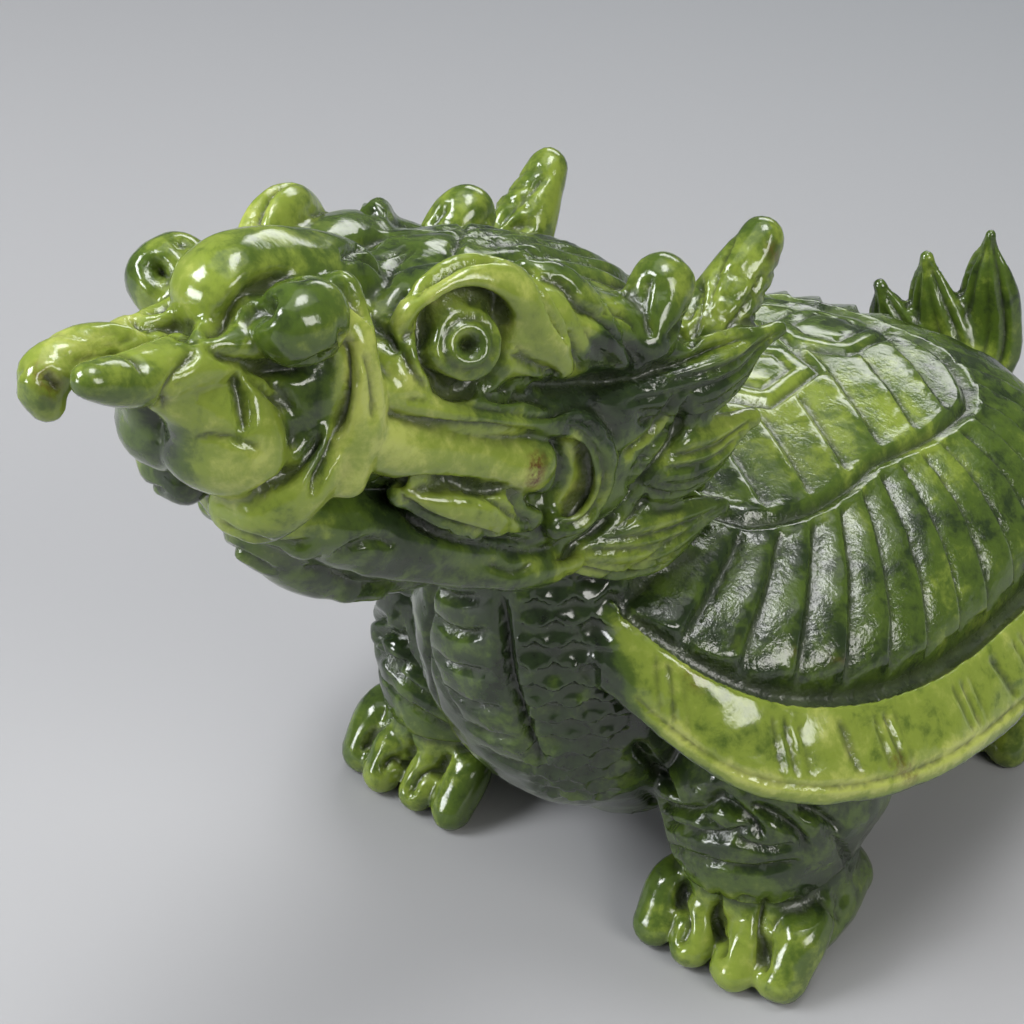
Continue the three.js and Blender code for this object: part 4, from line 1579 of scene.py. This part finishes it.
@dataclass
class Jade:
    """The node tree of the jade.

    Attributes:
        finish: Its colours and sizes.
    """

    finish: JadeFinish = field(default_factory=JadeFinish)

    def __post_init__(self) -> None:
        """Starts the material with an empty tree."""
        self.made = bpy.data.materials.new("polished_nephrite")
        self.made.use_nodes = True
        self.tree = self.made.node_tree
        self.tree.nodes.clear()

    def patterns(self) -> None:
        """Adds the attributes of the mesh and the noises that the rest of the tree reads."""
        self.stored = {
            name: add_node(self.tree, "ShaderNodeAttribute", attribute_name=name).outputs["Fac"]
            for name in ("tone", "hollow_shade", "rust", "tooled")
        }
        place = add_node(self.tree, "ShaderNodeTexCoord").outputs["Object"]
        drawn_out = add_node(self.tree, "ShaderNodeMapping", {
            "Vector": place, "Rotation": (0.4, 0.9, 0.3), "Scale": (1.0, 4.5, 1.3)}).outputs[0]
        sizes = (
            (place, self.finish.cloud_mm, 5.0, 0.6, 0.5),
            (place, self.finish.fleck_mm, 6.0, 0.62, 0.3),
            (place, self.finish.grain_mm, 3.0, 0.6, 0.0),
            (drawn_out, self.finish.scratch_mm, 4.0, 0.6, 0.0),
        )
        self.clouds, self.flecks, self.grain, self.scratches = (
            add_node(self.tree, "ShaderNodeTexNoise", {
                "Vector": where, "Scale": 1 / MM / size, "Detail": detail, "Roughness": rough,
                "Distortion": twist}).outputs["Fac"]
            for where, size, detail, rough, twist in sizes)

    def moved_by(
        self, value: bpy.types.NodeSocket | float, pattern: bpy.types.NodeSocket, weight: float,
    ) -> bpy.types.NodeSocket:
        """Moves a value by what a pattern differs from its mean.

        Args:
            value: The value.
            pattern: A pattern round 0.5.
            weight: How far the pattern moves it.

        Returns:
            The moved value.
        """
        off = add_node(self.tree, "ShaderNodeMath", {0: pattern, 1: 0.5}, operation="SUBTRACT")
        return add_node(self.tree, "ShaderNodeMath", {0: off.outputs[0], 1: weight, 2: value},
                        operation="MULTIPLY_ADD").outputs[0]

    def colour(self) -> bpy.types.NodeSocket:
        """Builds the colour of the stone.

        Returns:
            The greens, darkened by painted shade and dusted in the hollows, and stained with rust.
        """
        tree, finish, hollow_shade = self.tree, self.finish, self.stored["hollow_shade"]
        tone = self.stored["tone"]
        for pattern, weight in zip((self.clouds, self.flecks, self.grain), finish.weights):
            tone = self.moved_by(tone, pattern, weight)
        ramp = add_node(tree, "ShaderNodeValToRGB", {0: tone})
        set_stops(ramp, finish.greens())
        colour = ramp.outputs["Color"]
        low, gain = finish.rust_grain
        broken = add_node(tree, "ShaderNodeMath", {0: self.grain, 1: gain, 2: low},
                          operation="MULTIPLY_ADD")
        cubed = add_node(tree, "ShaderNodeMath", {0: hollow_shade, 1: 3.0}, operation="POWER")
        dusty = add_node(tree, "ShaderNodeMath", {0: self.flecks, 1: finish.dust_share},
                         operation="MULTIPLY")
        # Painted shade darkens the hollows; the wax dust in them and the rust stains are the stone's
        # own
        layers = (
            (hollow_shade, finish.painted_shade_share, finish.hollow_shade),
            (cubed.outputs[0], dusty.outputs[0], finish.dust),
            (self.stored["rust"], broken.outputs[0], finish.rust),
        )
        for one, two, code in layers:
            share = add_node(tree, "ShaderNodeMath", {0: one, 1: two},
                             operation="MULTIPLY", use_clamp=True)
            mixed = add_node(tree, "ShaderNodeMix", {0: share.outputs[0], 6: colour, 7: linear(code)},
                             data_type="RGBA")
            colour = mixed.outputs[2]
        return colour

    def roughness(self) -> bpy.types.NodeSocket:
        """Builds the roughness.

        Returns:
            The roughness, higher in the hollows and uneven over the flecks.
        """
        in_hollow, in_fleck = self.finish.dull
        base = add_node(self.tree, "ShaderNodeMath", {
            0: self.stored["hollow_shade"], 1: in_hollow, 2: self.finish.roughness}, operation="MULTIPLY_ADD")
        return self.moved_by(base.outputs[0], self.flecks, in_fleck)

    def bump(self) -> bpy.types.NodeSocket:
        """Builds the finest relief.

        Returns:
            The normal over scratches and grain, with tool marks in the grooves.
        """
        tree = self.tree
        marks = add_node(tree, "ShaderNodeMath", {0: self.stored["tooled"], 1: self.grain},
                         operation="MULTIPLY")
        height = 0.0
        for pattern, share in zip((self.scratches, self.grain, marks.outputs[0]), self.finish.relief):
            height = add_node(tree, "ShaderNodeMath", {0: pattern, 1: share, 2: height},
                              operation="MULTIPLY_ADD").outputs[0]
        strength, distance = self.finish.bump
        return add_node(tree, "ShaderNodeBump", {
            "Height": height, "Strength": strength, "Distance": distance}).outputs["Normal"]

    def material(self) -> bpy.types.Material:
        """Builds the material.

        Returns:
            The material, which reads Object coordinates and the attributes of the mesh.
        """
        self.patterns()
        shader = add_node(self.tree, "ShaderNodeBsdfPrincipled", {
            "Base Color": self.colour(),
            "Roughness": self.roughness(),
            "IOR": self.finish.index,
            "Subsurface Weight": self.finish.glow,
            "Subsurface Radius": (0.9, 1.0, 0.4),
            "Subsurface Scale": self.finish.glow_mm * MM,
            "Normal": self.bump(),
        })
        add_node(self.tree, "ShaderNodeOutputMaterial", {"Surface": shader.outputs["BSDF"]})
        return self.made


@dataclass
class Carving:
    """The whole carving: a blank of all its forms, made one skin and then cut with relief."""

    shell: Shell = field(default_factory=Shell)
    view: PhotoView = field(default_factory=PhotoView)
    voxel: float = 0.31
    triangles: int = 194000

    def blank(self) -> bpy.types.Object:
        """Puts all forms of the carving in one mesh.

        Returns:
            An object in which they still overlap.
        """
        parts = [Trunk(), Leg(), Leg(backwards=HIND_LEGS), Tail(),
                 HeadMass(), Muzzle(), Cheek(), Brow(), Crest()]
        whole = bmesh.new()
        for form in [self.shell, *(limb for part in parts for limb in part.limbs())]:
            own = bmesh.new()
            form.add_to(own)
            bmesh.ops.recalc_face_normals(own, faces=own.faces)
            mesh = bpy.data.meshes.new("form")
            own.to_mesh(mesh)
            own.free()
            whole.from_mesh(mesh)
            bpy.data.meshes.remove(mesh)
        return object_of(whole, "jade_carving")

    def skin(self) -> Skin:
        """Grows the forms of the blank together.

        Returns:
            The one skin round them all.
        """
        thing = self.blank()
        remesh = thing.modifiers.new("skin", "REMESH")
        remesh.mode = "VOXEL"
        remesh.voxel_size = self.voxel
        polish = thing.modifiers.new("polish", "SMOOTH")
        polish.factor = 0.5
        polish.iterations = 5
        settle(thing)
        log.info("skin of %d vertices", len(thing.data.vertices))
        return Skin(thing)

    def relief(self, skin: Skin) -> Carver:
        """Cuts all relief into the skin.

        Args:
            skin: The smooth skin.

        Returns:
            The carver, for placing stains later.
        """
        carver = Carver(skin, self.shell, self.view)
        for stroke in (*NOSE_STROKES, *BROW_STROKES, *CHEEK_STROKES, *BODY_STROKES):
            carver.run(stroke)
        self.comb_leaves(carver)
        carver.eyes(Brow().eye)
        carver.carve_shell()
        carver.carve_neck()
        carver.carve_crown()
        carver.carve_legs(Leg())
        carver.waves()
        skin.carve()
        return carver

    def comb_leaves(self, carver: Carver) -> None:
        """Cuts hair lines and notches into mane, leaves, horns, lobes and tail.

        Args:
            carver: The carver of the skin.
        """
        crest, brow, cheek, muzzle = Crest(), Brow(), Cheek(), Muzzle()
        for lock, lines in zip(crest.locks, (5, 5, 5, 3)):
            for limb in pair(lock, Hint.OUT):
                carver.comb(limb, lines, 0.85, 0.5)
        for limb in pair(crest.horn, Hint.OUT):
            carver.comb(limb, 3, 0.3)
            carver.notch(limb, (0.42, 0.56, 0.68, 0.82), 0.35, 0.5, 0.12)
        for limb in pair(crest.knob, Hint.OUT):
            carver.comb(limb, 3, 0.3)
        for path in (brow.first_leaf, brow.second_leaf):
            for limb in pair(path, Hint.OUT):
                carver.comb(limb, 2, 0.35)
        for limb in pair(cheek.lip_leaf, Hint.OUT):
            carver.notch(limb, (0.3, 0.45, 0.6, 0.75), 0.22, 0.5, 0.1)
        for limb in pair(cheek.curl, Hint.OUT):
            carver.notch(limb, (0.25, 0.4, 0.55, 0.7), 0.2, 0.45)
        carver.notch(Limb(muzzle.right_horn), (0.3, 0.5, 0.68), 0.3, 0.6, 0.1)
        for limb in crest.nape():
            carver.comb(limb, 4, 0.8, 0.5)
        for limb in Tail().limbs()[1:]:
            carver.comb(limb, 4, 0.75, 0.5, lowest=-2.0)

    def tone(self, skin: Skin, carver: Carver) -> np.ndarray:
        """Tells how light the stone is, with a painted reflection over the rim and painted shade on the
        far lip lobes.

        Args:
            skin: The carved skin.
            carver: Its carver.

        Returns:
            Tone of every vertex, from 0 to 1.
        """
        place = skin.co.copy()
        place[:, 0] = np.abs(place[:, 0])
        _, reach, seam = carver.dome()
        plain_tone, plain_weight = 0.36, 0.35
        total = np.full(len(place), plain_tone * plain_weight)
        weight = np.full(len(place), plain_weight)
        for spot in TONE_SPOTS:
            away = np.linalg.norm(place - np.array(spot.place), axis=1)
            near = np.exp(-((away / spot.radius) ** 2) * 1.6)
            total += near * spot.tone
            weight += near
        tone = total / weight
        # Painted reflection: the rim is lightened in the colour, more so towards its outer edge,
        # standing in for the hazy reflection of the lights over it
        fall = seam - skin.co[:, 2]
        past_seam = smoothstep(0.99, 1.02, reach) * smoothstep(-1.6, -0.4, fall)
        rim = past_seam * (1 - smoothstep(6.4, 8.4, fall))
        rim *= carver.clear_of_neck() * (reach < 1.26)
        tone += rim * (0.66 + 0.28 * smoothstep(3.8, 6.0, fall) - tone)
        return self.tinted(tone, skin, carver)

    def tinted(self, tone: np.ndarray, skin: Skin, carver: Carver) -> np.ndarray:
        """Lays the veins, clouds and painted shade over the tone that are placed through the
        photograph.

        Args:
            tone: Tone of every vertex.
            skin: The carved skin.
            carver: Its carver.

        Returns:
            The tone with veins, clouds and painted shade.
        """
        for tint in TINTS:
            points, _, _ = carver.placed(Stroke(tint.name, tint.points))
            for side in BOTH if tint.both else (Side.LEFT,):
                if not len(points):
                    continue
                reach = tint.radius * 1.7
                found, distance, _ = skin.near(points * np.array([side.value, 1.0, 1.0]), reach)
                share = 1 - smoothstep(0.3, 1.0, distance / reach)
                tone[found] += share * (tint.tone - tone[found])
        return tone

    def rust(self, skin: Skin, carver: Carver) -> np.ndarray:
        """Tells how stained the stone is.

        Args:
            skin: The carved skin.
            carver: Its carver.

        Returns:
            Strength of the rust at every vertex, from 0 to 1.
        """
        rust = np.zeros(len(skin.co))
        for stain in RUST_STAINS:
            points, _, _ = carver.placed(Stroke(stain.name, stain.points, taper=0.01))
            if len(points) < 2:
                continue
            reach = stain.radius * 1.8
            found, distance, _ = skin.near(points, reach)
            share = 1 - smoothstep(0.3, 1.0, distance / reach)
            rust[found] = np.maximum(rust[found], share * stain.strength)
        return rust

    def lighten(self, skin: Skin) -> None:
        """Thins the mesh out where the stone is smooth, least over the head.

        Args:
            skin: The carved skin.
        """
        thing = skin.thing
        group = thing.vertex_groups.new(name="plain")
        head = (skin.co[:, 2] > 46) & (skin.co[:, 1] < -16)
        front = (skin.co[:, 1] < 6) & (skin.co[:, 0] > -4) & ~head
        for mask, weight in ((head, 0.02), (front, 0.5), (~head & ~front, 1.0)):
            group.add(np.nonzero(mask)[0].tolist(), weight, "REPLACE")
        faces = sum(len(face.vertices) - 2 for face in thing.data.polygons)
        thin = thing.modifiers.new("thin", "DECIMATE")
        thin.ratio = self.triangles / faces
        thin.vertex_group = "plain"
        thin.vertex_group_factor = 0.02
        settle(thing)
        log.info("thinned to %d faces", len(thing.data.polygons))

    def build(self) -> bpy.types.Object:
        """Builds the carving.

        Returns:
            The finished carving in metres, over the middle of its box.
        """
        skin = self.skin()
        carver = self.relief(skin)
        skin.store("tone", self.tone(skin, carver))
        # Mask of the painted shade in the hollows, also read for the wax dust and the roughness
        skin.store("hollow_shade", skin.hollows())
        skin.store("rust", self.rust(skin, carver))
        skin.store("tooled", skin.tooled)
        self.lighten(skin)
        return self.placed(skin.thing)

    def placed(self, thing: bpy.types.Object) -> bpy.types.Object:
        """Sets the mesh in the shared frame, in metres and within the box of the solid.

        Args:
            thing: The carving in millimetres of the drawn frame.

        Returns:
            The same object.
        """
        mesh = thing.data
        co = np.empty(len(mesh.vertices) * 3, np.float32)
        mesh.vertices.foreach_get("co", co)
        co = co.reshape(-1, 3).astype(np.float64)
        co[:, 1] += CENTRING
        co *= MM
        hair = 1e-5
        low, high = (np.array(corner[:]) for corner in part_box(NODE))
        co = np.clip(co, low + hair, high - hair)
        mesh.vertices.foreach_set("co", co.astype(np.float32).ravel())
        mesh.shade_smooth()
        mesh.update()
        mesh.materials.append(Jade().material())
        return thing


@dataclass(frozen=True)
class SoftBox:
    """One soft light of the studio.

    Attributes:
        name: Its name.
        place: Where it hangs in metres.
        size: Width and height in metres.
        power: Power in watts.
        tint: Colour as hex.
    """

    name: str
    place: tuple[float, float, float]
    size: tuple[float, float]
    power: float
    tint: str = "#ffffff"


SOFT_BOXES = (
    SoftBox("window", (-0.34, -0.40, 0.52), (0.30, 0.22), 4.0, "#fbfdff"),
    SoftBox("overhead", (0.06, 0.06, 0.70), (0.30, 0.22), 2.2),
    SoftBox("right", (0.62, -0.12, 0.43), (0.40, 0.30), 3.2, "#fffdf8"),
    SoftBox("low front", (-0.40, -0.85, 0.26), (0.34, 0.22), 3.6, "#fbfdff"),
    SoftBox("behind", (-0.25, 0.60, 0.40), (0.40, 0.20), 1.2),
    SoftBox("ceiling", (0.0, 0.2, 2.6), (2.8, 2.8), 24.0),
)


@dataclass
class Studio:
    """Pale floor, soft lights and the camera of the photograph.

    Attributes:
        view: The camera.
        finish: What the floor is made of, with its painted shade.
        floor_side: Side of the floor in metres.
        aim: Where the soft boxes point, in metres.
        room: Colour of the even light of the room.
        room_strength: Its strength.
    """

    view: PhotoView = field(default_factory=PhotoView)
    finish: FloorWithPaintedShade = field(default_factory=FloorWithPaintedShade)
    floor_side: float = 6.0
    aim: tuple[float, float, float] = (0.0, -0.02, 0.045)
    room: str = "#b4b8bc"
    room_strength: float = 0.28

    def floor(self) -> bpy.types.Object:
        """Lays the floor that the carving stands on.

        Returns:
            The floor.
        """
        blank = bmesh.new()
        bmesh.ops.create_grid(blank, x_segments=1, y_segments=1, size=self.floor_side / 2)
        made = object_of(blank, "floor")
        material = bpy.data.materials.new("pale_floor_with_painted_shade")
        material.use_nodes = True
        tree = material.node_tree
        place = add_node(tree, "ShaderNodeTexCoord").outputs["Object"]
        away = add_node(tree, "ShaderNodeSeparateXYZ", {0: place}).outputs["Y"]
        # Painted shade: the floor's colour darkens from the front to the back
        start, end = self.finish.fade
        share = add_node(tree, "ShaderNodeMapRange", {0: away, 1: start, 2: end, 3: 0.0, 4: 1.0})
        ramp = add_node(tree, "ShaderNodeValToRGB", {0: share.outputs[0]})
        set_stops(ramp, ((0.0, self.finish.near), (1.0, self.finish.far)))
        shader = tree.nodes["Principled BSDF"]
        tree.links.new(ramp.outputs["Color"], shader.inputs["Base Color"])
        shader.inputs["Roughness"].default_value = self.finish.roughness
        made.data.materials.append(material)
        return made

    def lights(self) -> None:
        """Hangs the soft boxes and sets the even light of the room."""
        scene = bpy.context.scene
        for box in SOFT_BOXES:
            light = bpy.data.lights.new(box.name, "AREA")
            light.shape = "RECTANGLE"
            light.size, light.size_y = box.size
            light.energy = box.power
            light.color = linear(box.tint)[:3]
            hung = bpy.data.objects.new(box.name, light)
            hung.location = box.place
            way = Vector(self.aim) - Vector(box.place)
            hung.rotation_euler = way.to_track_quat("-Z", "Y").to_euler()
            scene.collection.objects.link(hung)
        world = bpy.data.worlds.new("room")
        world.use_nodes = True
        back = world.node_tree.nodes["Background"]
        back.inputs["Color"].default_value = linear(self.room)
        back.inputs["Strength"].default_value = self.room_strength
        scene.world = world
        scene.view_settings.view_transform = "Standard"
        scene.view_settings.look = "None"

    def camera(self) -> None:
        """Sets up the camera where the photograph was taken from."""
        scene = bpy.context.scene
        lens = bpy.data.cameras.new("camera")
        lens.sensor_width = self.view.sensor
        lens.lens = self.view.focal / self.view.width * self.view.sensor
        lens.clip_start = 0.01
        lens.clip_end = 20.0
        made = bpy.data.objects.new("camera", lens)
        x, y, z = self.view.place
        made.location = (x * MM, (y + CENTRING) * MM, z * MM)
        made.rotation_euler = self.view.axes()[0].to_track_quat("-Z", "Y").to_euler()
        scene.collection.objects.link(made)
        scene.camera = made


def main() -> None:
    """Builds the carving in its studio."""
    logging.basicConfig(level=logging.INFO)
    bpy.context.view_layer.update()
    carving = Carving().build()
    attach(carving, "root")
    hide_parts(NODE)
    log.info("%s has %d faces", NODE, len(carving.data.polygons))
    studio = Studio()
    studio.floor()
    studio.lights()
    studio.camera()


if __name__ == "__main__":
    main()
